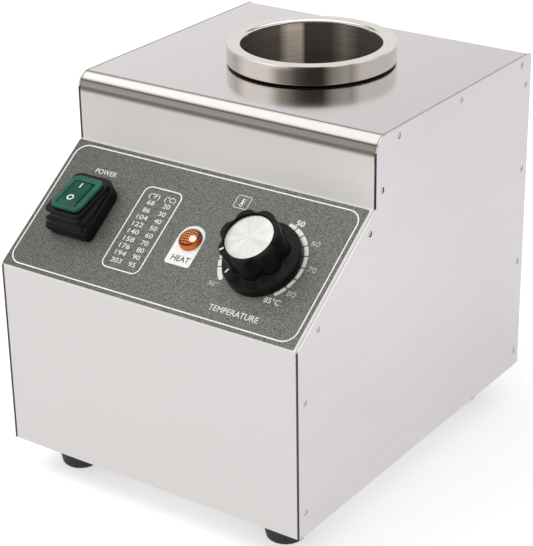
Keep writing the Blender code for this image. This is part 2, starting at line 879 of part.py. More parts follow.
def build_collar():
    """Thick collar ring with three studs, its gasket and the nuts under the top."""
    top = collar_low + collar_height
    step = collar_low + well_wall + fit_gap
    seat_radius = well_flange_radius + fit_gap
    crown = [(well_bore_radius + collar_inner_round * (1 - cos(a)),
              top - collar_inner_round * (1 - sin(a))) for a in (0, pi / 6, pi / 3, pi / 2)]
    ring = [(collar_outer - collar_outer_round, top), (collar_outer, top - collar_outer_round),
            (collar_outer, collar_low + collar_outer_round),
            (collar_outer - collar_outer_round, collar_low), (seat_radius, collar_low),
            (seat_radius, step), (well_bore_radius, step), *crown]
    collar = turned("collar_ring", ring, well_steps, closed=True)
    place(paint(collar, steel, 0.22, 1.0), casing, (0, well_y, 0))
    studs = [((x, y, collar_low - stud_length), (x, y, step + stud_radius), stud_radius)
             for x, y in stud_places()]
    join(collar, drill("collar_studs", studs, collar))

    loops = [circle(collar_outer - gasket_inset, well_steps),
             circle(well_outer + fit_gap, well_steps)]
    loops += [circle(stud_radius + fit_gap, hole_steps, p) for p in stud_places()]
    gasket = flat_outline("collar_gasket", loops, gasket_thickness)
    place(paint(gasket, black_rubber, 0.7), casing, (0, well_y, body_height + fit_gap))

    nut_low = body_height + under - nut_height
    for i, (x, y) in enumerate(stud_places()):
        loops = [hexagon(nut_width), circle(stud_radius + fit_gap)]
        nut = flat_outline(f"collar_nut_{i + 1}", loops, nut_height)
        place(paint(nut, steel, 0.35, 1.0), casing, (x, well_y + y, nut_low),
              (0, 0, atan2(y, x)))


def build_heater():
    """Band heater clamped round the well, inside its fibre sleeve."""
    band = flat_outline("heater_band", [split_ring(band_inner, band_outer, band_gap, 36)],
                        band_height)
    place(paint(band, (0.42, 0.40, 0.36), 0.45, 0.8), casing, (0, well_y, band_low),
          (0, 0, band_turn))
    root = (band_inner + band_outer) / 2
    tip = band_outer + ear_reach
    low = band_gap / 2 + fit_gap
    high = low + ear_thickness
    ears = boxes("band_ears", [((root, low, fit_gap), (tip, high, band_height - fit_gap)),
                               ((root, -high, fit_gap), (tip, -low, band_height - fit_gap))],
                 band)
    join(band, ears)
    x = band_outer + ear_reach / 2
    middle = band_height / 2
    across = high + cut_over
    cut(band, drill("ear_hole", [((x, -across, middle), (x, across, middle),
                                  band_screw_radius + fit_gap)], band))
    head_seat = high + fit_gap
    screw = turned("band_screw", screw_profile(pan_head_radius, pan_head_height,
                                               band_screw_radius,
                                               2 * head_seat + band_screw_over), hole_steps)
    place(paint(screw, steel, 0.35, 1.0), band, (x, head_seat, middle), (-pi / 2, 0, 0))

    wool = band_outer + fit_gap
    sleeve = flat_outline("insulation_sleeve",
                          [split_ring(wool, wool + sleeve_thickness, sleeve_gap, 36)],
                          band_height + 2 * sleeve_over)
    place(paint(sleeve, (0.72, 0.70, 0.64), 0.9), casing, (0, well_y, band_low - sleeve_over),
          (0, 0, band_turn))


def blades(name, places, top, parent):
    """Flat blade terminals that hang from a face, to be joined to a piece."""
    spans = [((x - blade_width / 2, y - blade_thickness / 2, top - blade_length),
              (x + blade_width / 2, y + blade_thickness / 2, top + blade_thickness))
             for x, y in places]
    return boxes(name, spans, parent)


def build_cutout():
    """Snap disc cut-out held flat under the well by a plate on a stud."""
    disc_top = well_floor_rise - fit_gap
    low = -cutout_flange - cutout_height
    profile = [(0, 0), (cutout_flange_radius, 0), (cutout_flange_radius, -cutout_flange),
               (cutout_radius, -cutout_flange), (cutout_radius, low), (0, low)]
    disc = turned("thermal_cutout", profile, 20)
    place(paint(disc, black_plastic, 0.5), casing, (0, well_y, disc_top))
    tabs = [(0, side * cutout_radius / 2) for side in (-1, 1)]
    join(disc, blades("cutout_blades", tabs, low, disc))

    hole = cutout_radius + fit_gap
    near = -hole - clip_margin
    far = clip_reach + clip_stud_radius + clip_margin
    loops = [rounded_rectangle(far - near, -2 * near, clip_margin, 2, ((far + near) / 2, 0)),
             circle(hole, 20), circle(clip_stud_radius + fit_gap, centre=(clip_reach, 0))]
    plate_low = disc_top - cutout_flange - fit_gap - clip_thickness
    clip = flat_outline("cutout_clip", loops, clip_thickness)
    place(paint(clip, steel, 0.4, 1.0), casing, (0, well_y, plate_low))
    nut = flat_outline("cutout_nut", [hexagon(clip_nut_width),
                                      circle(clip_stud_radius + fit_gap)], nut_height)
    place(paint(nut, steel, 0.35, 1.0), casing,
          (clip_reach, well_y, plate_low - fit_gap - nut_height))


def d_outline(radius, flat, steps=20):
    """Circle with a flat on its +X side."""
    start = acos(flat / radius)
    return arc(radius, steps, (0, 0), start, 2 * pi - 2 * start)


def build_thermostat():
    """Thermostat body under the slope, its screws, and its shaft on the knob's axis."""
    u, v = knob_place
    body = flat_outline("thermostat_body",
                        [rounded_rectangle(thermo_plate_width, thermo_plate_length,
                                           thermo_head_radius, 2)],
                        thermo_plate, under - thermo_plate)
    place(paint(body, (0.66, 0.64, 0.60), 0.45, 0.6), slope, (u, v, 0))
    can_top = under - thermo_plate / 2
    can_low = under - thermo_plate - thermo_can_depth
    can = ((-thermo_can_width / 2, -thermo_can_length / 2, can_low),
           (thermo_can_width / 2, thermo_can_length / 2, can_top))
    tabs = [(side * thermo_blade_pitch / 2, 0) for side in (-1, 1)]
    join(body, boxes("thermo_can", [can], body),
         blades("thermo_blades", tabs, can_low, body))
    holes = [((0, 0, -shaft_root - fit_gap), (0, 0, cut_over), shaft_radius + fit_gap)]
    holes += [((x - u, y - v, -thermo_screw_length - fit_gap), (x - u, y - v, cut_over),
               thermo_screw_radius + fit_gap) for x, y in thermo_screw_places()]
    cut(body, drill("thermo_holes", holes, body, 20))
    profile = screw_profile(thermo_head_radius, thermo_head_height, thermo_screw_radius,
                            thermo_screw_length)
    for i, (x, y) in enumerate(thermo_screw_places()):
        screw = turned(f"thermostat_screw_{i + 1}", profile, hole_steps)
        place(paint(screw, steel, 0.35, 1.0), slope, (x, y, fit_gap))
    shaft = flat_outline("thermostat_shaft", [d_outline(shaft_radius, shaft_flat)],
                         shaft_top + shaft_root, -shaft_root)
    place(paint(shaft, steel, 0.3, 1.0), knob_axis, rotation=(0, 0, grub_turn))


def inside(shares):
    """Points in the casing, from shares of its width, depth and height."""
    return [Vector((x * body_width, y * body_depth, z * body_height)) for x, y, z in shares]


def build_bulb():
    """Bulb of the thermostat along the well, its clip, and the fine tube between them."""
    out = Vector((cos(bulb_turn), sin(bulb_turn), 0))
    centre = Vector((0, well_y, 0)) + out * (well_outer + fit_gap + bulb_radius)
    bulb_low = band_low + band_height + bulb_band_gap
    low = centre + Vector((0, 0, bulb_low))
    high = low + Vector((0, 0, bulb_length))
    neck = low - Vector((0, 0, bulb_radius))
    dip = neck - Vector((0, 0, bulb_radius / 2))
    end_place = (knob_place[0] + thermo_can_width / 2 - wire_lead / 2, knob_place[1])
    can_low = under - thermo_plate - thermo_can_depth - fit_gap
    route = [neck, dip + out * bulb_radius, dip + out * (sleeve_thickness + bulb_radius),
             *inside(capillary_route_shares)]
    route += [from_slope(*end_place, can_low - reach) for reach in (wire_lead, wire_straight, 0)]
    dots = smooth_route(route, wire_samples)
    radii = [bulb_radius, bulb_radius] + [capillary_radius] * len(dots)
    bulb = tube("sensor_bulb", [high, low, *dots], radii, casing)
    paint(bulb, (0.72, 0.45, 0.28), 0.35, 1.0)

    inner = bulb_radius + fit_gap
    start = pi + bulb_clip_opening
    sweep = 2 * pi - 2 * bulb_clip_opening
    loop = arc(inner + clip_wall, 14, (0, 0), start, sweep)
    loop += arc(inner, 14, (0, 0), start, sweep)[::-1]
    clip = flat_outline("bulb_clip", [loop], bulb_clip_height)
    place(paint(clip, steel, 0.4, 1.0), casing,
          low + Vector((0, 0, (bulb_length - bulb_clip_height) / 2)), (0, 0, bulb_turn))


def build_knob():
    """Skirted knob with a fluted grip, its metal cap and its grub screw."""
    base = knob_clearance
    rim = base + skirt_rim_height
    foot = rim + skirt_dome
    top = base + grip_height
    count = flute_count * flute_steps
    angles = [2 * pi * i / count + flute_turn for i in range(count)]

    def ring(radius, height, flute=0.0):
        points = []
        for a in angles:
            wave = (1 + cos(flute_count * (a - flute_turn))) / 2
            r = radius - flute * wave ** 1.5
            points.append((r * cos(a), r * sin(a), height))
        return points

    recess = cap_radius + fit_gap
    rings = [ring(skirt_radius, base), ring(skirt_top_radius, rim),
             ring(grip_radius, foot, flute_depth),
             ring(grip_radius - grip_taper, top - grip_bevel, flute_depth),
             ring(grip_radius - grip_taper - grip_bevel, top, flute_depth),
             ring(recess + grip_bevel, top), ring(recess, top - grip_bevel),
             ring(recess, top - cap_recess)]
    knob = loft("knob_body", rings)
    place(paint(knob, black_plastic, 0.38), knob_axis)
    cavity = flat_outline("knob_cavity", [circle(skirt_radius - skirt_wall, 40),
                                          circle(hub_radius, 24)],
                          skirt_cavity + cut_over, base - cut_over, cutters)
    bore = flat_outline("knob_bore", [d_outline(shaft_radius + fit_gap, shaft_flat + fit_gap)],
                        shaft_top + fit_gap + cut_over, -cut_over, cutters)
    bore.rotation_euler = (0, 0, grub_turn)
    way = Vector((cos(grub_turn), sin(grub_turn), 0))
    middle = Vector((0, 0, grub_height))
    hole = [(middle + way * shaft_flat, middle + way * (grip_radius + cut_over),
             grub_radius + fit_gap)]
    cut(knob, hide(cavity, knob_axis), hide(bore, knob_axis),
        drill("grub_hole", hole, knob_axis))

    cap_low = top - cap_recess + fit_gap
    cap_top = cap_low + cap_thickness
    cap = turned("knob_cap", [(0, cap_top), (cap_radius - cap_bevel, cap_top),
                              (cap_radius, cap_top - cap_bevel), (cap_radius, cap_low),
                              (0, cap_low)], 56)
    place(paint(cap, (0.86, 0.86, 0.86), 0.25, 1.0), knob_axis)

    grub = turned("knob_grub_screw", [(0, grub_length), (grub_radius, grub_length),
                                      (grub_radius, 0), (0, 0)], hole_steps)
    place(paint(grub, (0.2, 0.2, 0.2), 0.4, 1.0), knob_axis,
          middle + way * (shaft_flat + fit_gap), (0, pi / 2, grub_turn))


def build_switch_body():
    """Housing clipped into the slope, with the collar that carries the rocker's pin."""
    u, v = switch_place
    low = fit_gap
    start = low + switch_flange / 2
    collar_loop = rounded_rectangle(switch_collar_width, switch_collar_length, switch_corner, 2)
    body = flat_outline("switch_body", [collar_loop], switch_collar_height - start, start)
    place(paint(body, black_plastic, 0.5), slope, (u, v, 0))
    margin = 2 * switch_flange_margin
    flange = flat_outline("switch_flange",
                          [rounded_rectangle(switch_collar_width + margin,
                                             switch_collar_length + margin, switch_corner, 2)],
                          switch_flange, low, cutters)
    half_x = switch_body_width / 2
    half_y = switch_body_length / 2
    housing = ((-half_x, -half_y, -switch_body_depth), (half_x, half_y, start))
    latch_y = half_y + fit_gap + latch_reach
    latch = ((-latch_width / 2, -latch_y, under - latch_height), (latch_width / 2, latch_y, under))
    tabs = [(0, side * switch_blade_pitch / 2) for side in (-1, 1)]
    join(body, hide(flange, body), boxes("switch_housing", [housing], body),
         boxes("switch_latches", [latch], body),
         blades("switch_blades", tabs, -switch_body_depth, body))
    cavity_x = switch_collar_width / 2 - switch_collar_wall
    cavity_y = switch_collar_length / 2 - switch_collar_wall
    cavity = ((-cavity_x, -cavity_y, -switch_cavity_depth),
              (cavity_x, cavity_y, switch_collar_height + cut_over))
    across = switch_collar_width / 2 + cut_over
    pin_hole = [((-across, 0, pivot_height), (across, 0, pivot_height), pin_radius + fit_gap)]
    cut(body, boxes("switch_cavity", [cavity], body), drill("pin_hole", pin_hole, body))


def boot_ring(width, length, corner, reach, share):
    """Ring of the boot at a height over the pin, tilted by a share of the rocker's tilt."""
    turn = Matrix.Rotation(rest_tilt * share, 3, "X")
    hub = Vector((0, 0, pivot_height))
    shift = boot_shift * (1 - share)
    return [hub + turn @ Vector((x, y + shift, reach))
            for x, y in rounded_rectangle(width, length, corner)]


def build_boot():
    """Rubber boot: a foot on the panel, two folds, and a lip under the rocker's cap."""
    foot_low = seat - pivot_height
    foot_high = boot_foot_height - pivot_height
    lip_high = rocker_top - rocker_cap_thickness - fit_gap
    lip_low = lip_high - boot_lip_thickness
    draft = 2 * boot_draft
    wall = 2 * boot_wall

    def fold(share, depth):
        """Ring of the folded wall, drawn in by a depth."""
        width = boot_foot_width + (boot_lip_width - boot_foot_width) * share - draft - depth
        length = boot_foot_length + (boot_lip_length - boot_foot_length) * share - draft - depth
        reach = foot_high + (lip_low - foot_high) * share
        return boot_ring(width, length, boot_lip_corner, reach, share)

    deep = 2 * boot_fold_depth
    first, middle, last = boot_fold_shares
    hole = (neck_width + 2 * fit_gap, neck_length + 2 * fit_gap, rocker_bevel)
    rings = [boot_ring(boot_foot_width, boot_foot_length, boot_foot_corner, foot_low, 0),
             boot_ring(boot_foot_width - draft, boot_foot_length - draft, boot_foot_corner,
                       foot_high, 0),
             fold(first, deep), fold(middle, 0), fold(last, deep),
             boot_ring(boot_lip_width, boot_lip_length, boot_lip_corner, lip_low, 1),
             boot_ring(boot_lip_width, boot_lip_length, boot_lip_corner, lip_high, 1),
             boot_ring(*hole, lip_high, 1), boot_ring(*hole, lip_low, 1),
             fold(last, deep + wall), fold(middle, wall), fold(first, deep + wall),
             boot_ring(boot_foot_width - draft - wall, boot_foot_length - draft - wall,
                       boot_foot_corner - boot_wall, foot_high, 0),
             boot_ring(boot_foot_width - wall, boot_foot_length - wall,
                       boot_foot_corner - boot_wall, foot_low, 0)]
    boot = loft("switch_boot", rings, looped=True)
    place(paint(boot, black_rubber, 0.6), slope, (*switch_place, 0))


def build_rocker():
    """Green rocker: a cap with a window, a neck through the boot, and the pin."""
    high = rocker_top
    low = high - rocker_cap_thickness

    def ring(inset, height):
        loop = rounded_rectangle(rocker_width - inset, rocker_length - inset,
                                 rocker_corner - inset / 2)
        return [(x, y, height) for x, y in loop]

    rocker = loft("switch_rocker", [ring(0, low), ring(0, high - rocker_bevel),
                                    ring(2 * rocker_bevel, high)])
    place(paint(rocker, (0.02, 0.36, 0.22), 0.35), rocker_axis)
    neck = ((-neck_width / 2, -neck_length / 2, -neck_depth),
            (neck_width / 2, neck_length / 2, low + window_depth / 2))
    across = switch_collar_width / 2 - fit_gap
    pin = [((-across, 0, 0), (across, 0, 0), pin_radius)]
    join(rocker, boxes("rocker_neck", [neck], rocker_axis), drill("rocker_pin", pin, rocker_axis))
    window = ((-window_width / 2, window_shift - window_length / 2, high - window_depth),
              (window_width / 2, window_shift + window_length / 2, high + cut_over))
    cut(rocker, boxes("rocker_window", [window], rocker_axis))


def build_lamp():
    """Amber lens with a threaded skirt, its nut, and the lamp plugged in from behind."""
    u, v = lamp_place
    dome = [(lens_radius * sin(a), lens_rim + (lens_dome - lens_rim) * cos(a))
            for a in (0, pi / 8, pi / 4, pi * 3 / 8, pi / 2)]
    skirt_low = -lens_skirt_length - seat
    inner = lens_skirt_radius - lens_skirt_wall
    profile = dome + [(lens_radius, 0), (lens_skirt_radius, 0), (lens_skirt_radius, skirt_low),
                      (inner, skirt_low), (inner, lens_rim / 2), (0, lens_rim / 2)]
    lens = turned("lamp_lens", profile, 20)
    place(paint(lens, (0.75, 0.30, 0.05), 0.15), slope, (u, v, seat))
    plug = inner - fit_gap
    step = -lens_skirt_length - fit_gap
    plug_top = lens_rim / 2 + seat - fit_gap
    body = turned("lamp_body", [(0, plug_top), (plug, plug_top), (plug, step),
                                (lens_skirt_radius, step), (lens_skirt_radius, -lamp_body_length),
                                (0, -lamp_body_length)], 16)
    place(paint(body, (0.55, 0.55, 0.55), 0.5), slope, (u, v, 0))
    nut = flat_outline("lamp_nut", [hexagon(lamp_nut_width),
                                    circle(lens_skirt_radius + fit_gap, 20)], lamp_nut_height)
    place(paint(nut, black_plastic, 0.5), slope, (u, v, under - lamp_nut_height))


def build_gland():
    """Cord gland through the back panel, with its locknut inside."""
    base = fit_gap
    shoulder = base + fit_gap
    end = base + gland_hex_height + gland_dome_length
    round_top = (gland_dome_radius - gland_mouth_radius) / 2
    profile = [(gland_mouth_radius, end), (gland_dome_radius - round_top, end - round_top),
               (gland_dome_radius, end - 3 * round_top), (gland_dome_radius, shoulder),
               (gland_thread_radius, shoulder), (gland_thread_radius, -gland_thread_length),
               (gland_bore_radius, -gland_thread_length), (gland_bore_radius, end)]
    x = gland_side_share * body_width
    gland = turned("gland_body", profile, 24, closed=True)
    place(paint(gland, black_plastic, 0.5), casing, (x, body_depth, gland_rise), (-pi / 2, 0, 0))
    wrench = flat_outline("gland_hex", [hexagon(gland_hex_width),
                                        circle(gland_thread_radius - fit_gap, 24)],
                          gland_hex_height, base, cutters)
    join(gland, hide(wrench, gland))
    nut = flat_outline("gland_locknut", [hexagon(gland_hex_width),
                                         circle(gland_thread_radius + fit_gap, 24)],
                       gland_nut_height)
    place(paint(nut, black_plastic, 0.5), casing,
          (x, body_depth + under - gland_nut_height, gland_rise), (-pi / 2, 0, 0))


def way_x(way):
    """Place across the casing of one way of the terminal block, counted from the left."""
    return block_place[0] + (way - (block_ways - 1) / 2) * block_way_pitch


def build_terminals():
    """Terminal block on the pan floor, and the earth stud."""
    x, y = block_place
    half = (block_ways - 1) / 2 * block_way_pitch + block_end_wall
    block = flat_outline("terminal_block",
                         [rounded_rectangle(2 * half, block_length, block_screw_radius / 2, 2)],
                         block_height)
    place(paint(block, (0.75, 0.74, 0.70), 0.5), casing, (x, y, pan_top))
    middle = block_height / 2
    far = block_length / 2 + cut_over
    near = block_length / 2 - block_way_depth
    holes = []
    screws = []
    for way in range(block_ways):
        at = way_x(way) - x
        holes += [((at, side * near, middle), (at, side * far, middle), block_way_radius)
                  for side in (-1, 1)]
        screws.append(((at, 0, block_height - block_screw_depth),
                       (at, 0, block_height + cut_over), block_screw_radius))
    cut(block, drill("way_holes", holes, block), drill("way_screw_holes", screws, block))

    profile = screw_profile(pan_head_radius, pan_head_height, earth_stud_radius,
                            fit_gap + sheet + earth_stud_above)
    stud = turned("earth_stud", profile, hole_steps)
    place(paint(stud, (0.70, 0.55, 0.25), 0.35, 1.0), casing, (*earth_place, -fit_gap),
          (pi, 0, 0))


def wire(name, start, leave, shares, arrive, end, colour):
    """Wire from one terminal to another. It leaves and arrives along the given directions."""
    route = [start, start + leave * wire_straight, start + leave * wire_lead, *inside(shares),
             end - arrive * wire_lead, end - arrive * wire_straight, end]
    dots = smooth_route(route, wire_samples)
    paint(tube(name, dots, [wire_radius] * len(dots), casing), colour, 0.5)


def build_wires():
    """Every wire between the terminals."""
    down = Vector((0, sin(slope_angle), -cos(slope_angle)))
    forward = Vector((0, -1, 0))
    up = Vector((0, 0, 1))

    def way(number):
        mouth = block_place[1] - block_length / 2
        return Vector((way_x(number), mouth + block_way_depth - fit_gap, way_height))

    def switch_end(side):
        u, v = switch_place
        return from_slope(u, v + side * switch_blade_pitch / 2,
                          -switch_body_depth - blade_length - fit_gap)

    def thermo_end(side):
        u, v = knob_place
        return from_slope(u + side * thermo_blade_pitch / 2, v,
                          under - thermo_plate - thermo_can_depth - blade_length - fit_gap)

    def cutout_end(side):
        low = well_floor_rise - cutout_flange - cutout_height - blade_length - 2 * fit_gap
        return Vector((0, well_y + side * cutout_radius / 2, low))

    out = Vector((cos(band_turn), sin(band_turn), 0))
    across = Vector((-sin(band_turn), cos(band_turn), 0))

    def band_end(side):
        reach = (band_outer * band_outer - band_lead_offset * band_lead_offset) ** 0.5
        return (Vector((0, well_y, band_low + band_lead_rise)) + out * (reach + 2 * fit_gap)
                + across * side * band_lead_offset)

    def lamp_end(side):
        u, v = lamp_place
        return from_slope(u + side * lamp_lead_pitch / 2, v, -lamp_body_length - fit_gap)

    brown = (0.25, 0.11, 0.05)
    blue = (0.05, 0.12, 0.40)
    green = (0.20, 0.42, 0.08)
    white = (0.75, 0.74, 0.70)
    wire("live_lead", way(0), forward, live_route_shares, -down, switch_end(1), brown)
    wire("switch_lead", switch_end(-1), down, switch_route_shares, -down, thermo_end(-1), brown)
    wire("cutout_lead", thermo_end(1), down, cutout_route_shares, up, cutout_end(-1), white)
    wire("heater_lead", cutout_end(1), -up, heater_route_shares, -out, band_end(1), white)
    wire("neutral_lead", way(1), forward, neutral_route_shares, -out, band_end(-1), blue)
    earth_end = Vector((*earth_place, pan_top + earth_stud_above / 2))
    earth_end.y -= earth_stud_radius + fit_gap
    wire("earth_lead", way(4), forward, earth_route_shares, -forward, earth_end, green)
    for index, side in enumerate((-1, 1)):
        shift = block_way_pitch * index / body_width
        shares = [(x + shift, y, z) for x, y, z in lamp_route_shares]
        wire(f"lamp_lead_{index + 1}", lamp_end(side), down, shares, -forward,
             way(2 + index), white)


clear_scene()
parts = new_collection("topping_warmer")
cutters = new_collection("cutters")
warmer = empty("topping_warmer")
casing = empty("casing_frame", warmer, (0, -half_depth, foot_height))
slope = empty("slope_frame", casing, (0, 0, front_height), (slope_angle, 0, 0))
knob_axis = empty("knob_axis", slope, (*knob_place, 0))
rocker_axis = empty("rocker_axis", slope, (*switch_place, pivot_height), (rest_tilt, 0, 0))

build_wrap()
build_sides()
build_back()
build_base()
build_feet()
build_label()
build_well()
build_collar()
build_heater()
build_cutout()
build_thermostat()
build_bulb()
build_knob()
build_switch_body()
build_boot()
build_rocker()
build_lamp()
build_gland()
build_terminals()
build_wires()
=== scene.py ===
import json
from math import atan2, cos, pi, radians, sin

import bmesh
import bpy
import numpy as np
from mathutils import Matrix

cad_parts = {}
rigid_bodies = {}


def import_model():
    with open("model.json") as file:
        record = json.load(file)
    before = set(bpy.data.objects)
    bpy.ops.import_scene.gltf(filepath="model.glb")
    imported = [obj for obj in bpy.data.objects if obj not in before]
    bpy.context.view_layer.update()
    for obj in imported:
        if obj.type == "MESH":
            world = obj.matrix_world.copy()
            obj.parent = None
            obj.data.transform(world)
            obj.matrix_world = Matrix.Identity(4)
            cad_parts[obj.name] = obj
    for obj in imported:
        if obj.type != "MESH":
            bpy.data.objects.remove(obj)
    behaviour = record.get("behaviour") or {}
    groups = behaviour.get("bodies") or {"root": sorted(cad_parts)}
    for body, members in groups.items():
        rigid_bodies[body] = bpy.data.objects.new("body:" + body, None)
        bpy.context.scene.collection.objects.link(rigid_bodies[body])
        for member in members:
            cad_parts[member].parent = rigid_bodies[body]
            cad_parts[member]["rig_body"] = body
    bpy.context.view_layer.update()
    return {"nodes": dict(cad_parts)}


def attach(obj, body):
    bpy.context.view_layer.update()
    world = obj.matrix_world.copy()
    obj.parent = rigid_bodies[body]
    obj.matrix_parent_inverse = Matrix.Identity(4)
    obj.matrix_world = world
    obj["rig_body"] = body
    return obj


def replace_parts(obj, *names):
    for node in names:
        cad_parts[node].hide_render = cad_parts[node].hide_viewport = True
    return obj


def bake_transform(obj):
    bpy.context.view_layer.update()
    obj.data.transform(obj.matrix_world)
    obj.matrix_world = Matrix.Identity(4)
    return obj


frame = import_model()
print("frame loaded")

# Where the casing and its sloping panel stand, in metres
casing = {"halfDepth": 0.1184, "footHeight": 0.0181, "frontHeight": 0.100, "width": 0.180,
          "depth": 0.2195, "height": 0.182, "setback": 0.0662, "rise": 0.0467}
slopeAngle = atan2(casing["rise"], casing["setback"])
slopeLength = (casing["rise"] ** 2 + casing["setback"] ** 2) ** 0.5
wellAxis = (0.0, 0.0289)


def onCasing(x, y, z):
    # a point counted from the casing's front bottom edge, in world metres
    x, y, z = np.broadcast_arrays(x, y, z)
    return np.stack([x, y - casing["halfDepth"], z + casing["footHeight"]], -1)


def onSlope(u, v, h):
    # u across the slope, v up along it, h straight out of it
    v, h = np.asarray(v, float), np.asarray(h, float)
    return onCasing(u, v * cos(slopeAngle) - h * sin(slopeAngle),
                    casing["frontHeight"] + v * sin(slopeAngle) + h * cos(slopeAngle))


# Meshes

def addMesh(name, points, faces, material, body, sharp=35, weld=1e-7):
    mesh = bpy.data.meshes.new(name)
    mesh.from_pydata(np.asarray(points, float).reshape(-1, 3).tolist(), [], faces)
    bm = bmesh.new()
    bm.from_mesh(mesh)
    if weld:
        bmesh.ops.remove_doubles(bm, verts=bm.verts, dist=weld)
    bmesh.ops.recalc_face_normals(bm, faces=bm.faces)
    bm.to_mesh(mesh)
    bm.free()
    mesh.shade_smooth()
    mesh.set_sharp_from_angle(angle=radians(sharp))
    mesh.materials.append(material)
    obj = bpy.data.objects.new(name, mesh)
    bpy.context.scene.collection.objects.link(obj)
    if body:
        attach(obj, body)
    return obj


def gridFaces(rows, columns, loop=False, start=0):
    # quads between neighbouring rows, closed round the columns, and round the rows too if looped
    index = np.arange(rows * columns).reshape(rows, columns) + start
    if loop:
        index = np.vstack([index, index[:1]])
    right = np.roll(index, -1, axis=1)
    quads = np.stack([index[:-1], right[:-1], right[1:], index[1:]], -1)
    return quads.reshape(-1, 4).tolist()


def ringedSurface(name, rings, material, body, loop=False, sharp=35, even=False):
    # rings of equal count, one after another. Ends close on their middle point unless looped.
    # even keeps the shading of broad faces flat up to their rounded edges
    rings = np.asarray(rings, float)
    rows, columns = rings.shape[:2]
    faces = gridFaces(rows, columns, loop)
    points = rings.reshape(-1, 3)
    if not loop:
        ends = np.stack([rings[0].mean(0), rings[-1].mean(0)])
        low = rows * columns
        first = np.arange(columns)
        last = first + (rows - 1) * columns
        faces += np.stack([np.roll(first, -1), first, np.full(columns, low)], -1).tolist()
        faces += np.stack([last, np.roll(last, -1), np.full(columns, low + 1)], -1).tolist()
        points = np.vstack([points, ends])
    obj = addMesh(name, points, faces, material, body, sharp)
    if even:
        obj.modifiers.new("even faces", "WEIGHTED_NORMAL").keep_sharp = True
    return obj


def arcPoints(centre, radius, start, end, steps):
    # points on an arc from one angle to the other, both in degrees
    a = np.radians(np.linspace(start, end, steps + 1))
    return np.stack([centre[0] + radius * np.cos(a), centre[1] + radius * np.sin(a)], -1)


def turnedRings(profile, steps, axis):
    # a profile of (radius, height) points carried round an upright axis
    profile = np.asarray(profile, float)
    a = np.linspace(0, 2 * pi, steps, endpoint=False)
    r = profile[:, None, 0]
    z = np.broadcast_to(profile[:, None, 1], (len(profile), steps))
    return np.stack([axis[0] + r * np.cos(a), axis[1] + r * np.sin(a), z], -1)


def roundedLoop(halfWidth, halfLength, corner, steps=12, centre=(0, 0)):
    # rectangle whose corners are quarter circles, from the far right one anticlockwise
    loops = []
    for i, (sx, sy) in enumerate(((1, 1), (-1, 1), (-1, -1), (1, -1))):
        r = np.broadcast_to(corner, 4)[i]
        middle = (centre[0] + sx * (halfWidth - r), centre[1] + sy * (halfLength - r))
        loops.append(arcPoints(middle, r, i * 90, i * 90 + 90, steps))
    return np.vstack(loops)


def smoothCopy(node, material, sharp=30, weighted=True):
    # the CAD node's own shape, merged and shaded smooth, in its place
    source = frame["nodes"][node].data
    points = np.array([v.co for v in source.vertices])
    faces = [tuple(p.vertices) for p in source.polygons]
    body = frame["nodes"][node]["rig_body"]
    obj = addMesh(node + "_finish", points, faces, material, body, sharp=sharp, weld=2e-6)
    if weighted:
        obj.modifiers.new("even faces", "WEIGHTED_NORMAL").keep_sharp = True
    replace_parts(obj, node)
    return obj


# Materials

def addNode(tree, kind, inputs=(), **settings):
    node = tree.nodes.new("ShaderNode" + kind)
    for key, value in settings.items():
        setattr(node, key, value)
    for key, value in dict(inputs).items():
        if isinstance(value, bpy.types.NodeSocket):
            tree.links.new(value, node.inputs[key])
        else:
            node.inputs[key].default_value = value
    return node


def ramp(tree, factor, stops):
    node = addNode(tree, "ValToRGB", {"Fac": factor})
    elements = node.color_ramp.elements
    while len(elements) < len(stops):
        elements.new(0.5)
    for element, (place, colour) in zip(elements, stops):
        element.position = place
        element.color = (*colour, 1)
    return node.outputs["Color"]


def multiplied(tree, a, b):
    node = addNode(tree, "Mix", data_type="RGBA", blend_type="MULTIPLY")
    node.inputs["Factor"].default_value = 1
    tree.links.new(a, node.inputs["A"])
    tree.links.new(b, node.inputs["B"])
    return node.outputs["Result"]


def startMaterial(name, sockets):
    material = bpy.data.materials.new(name)
    material.use_nodes = True
    tree = material.node_tree
    shader = tree.nodes["Principled BSDF"]
    for key, value in sockets.items():
        shader.inputs[key].default_value = value
    return material, tree, shader


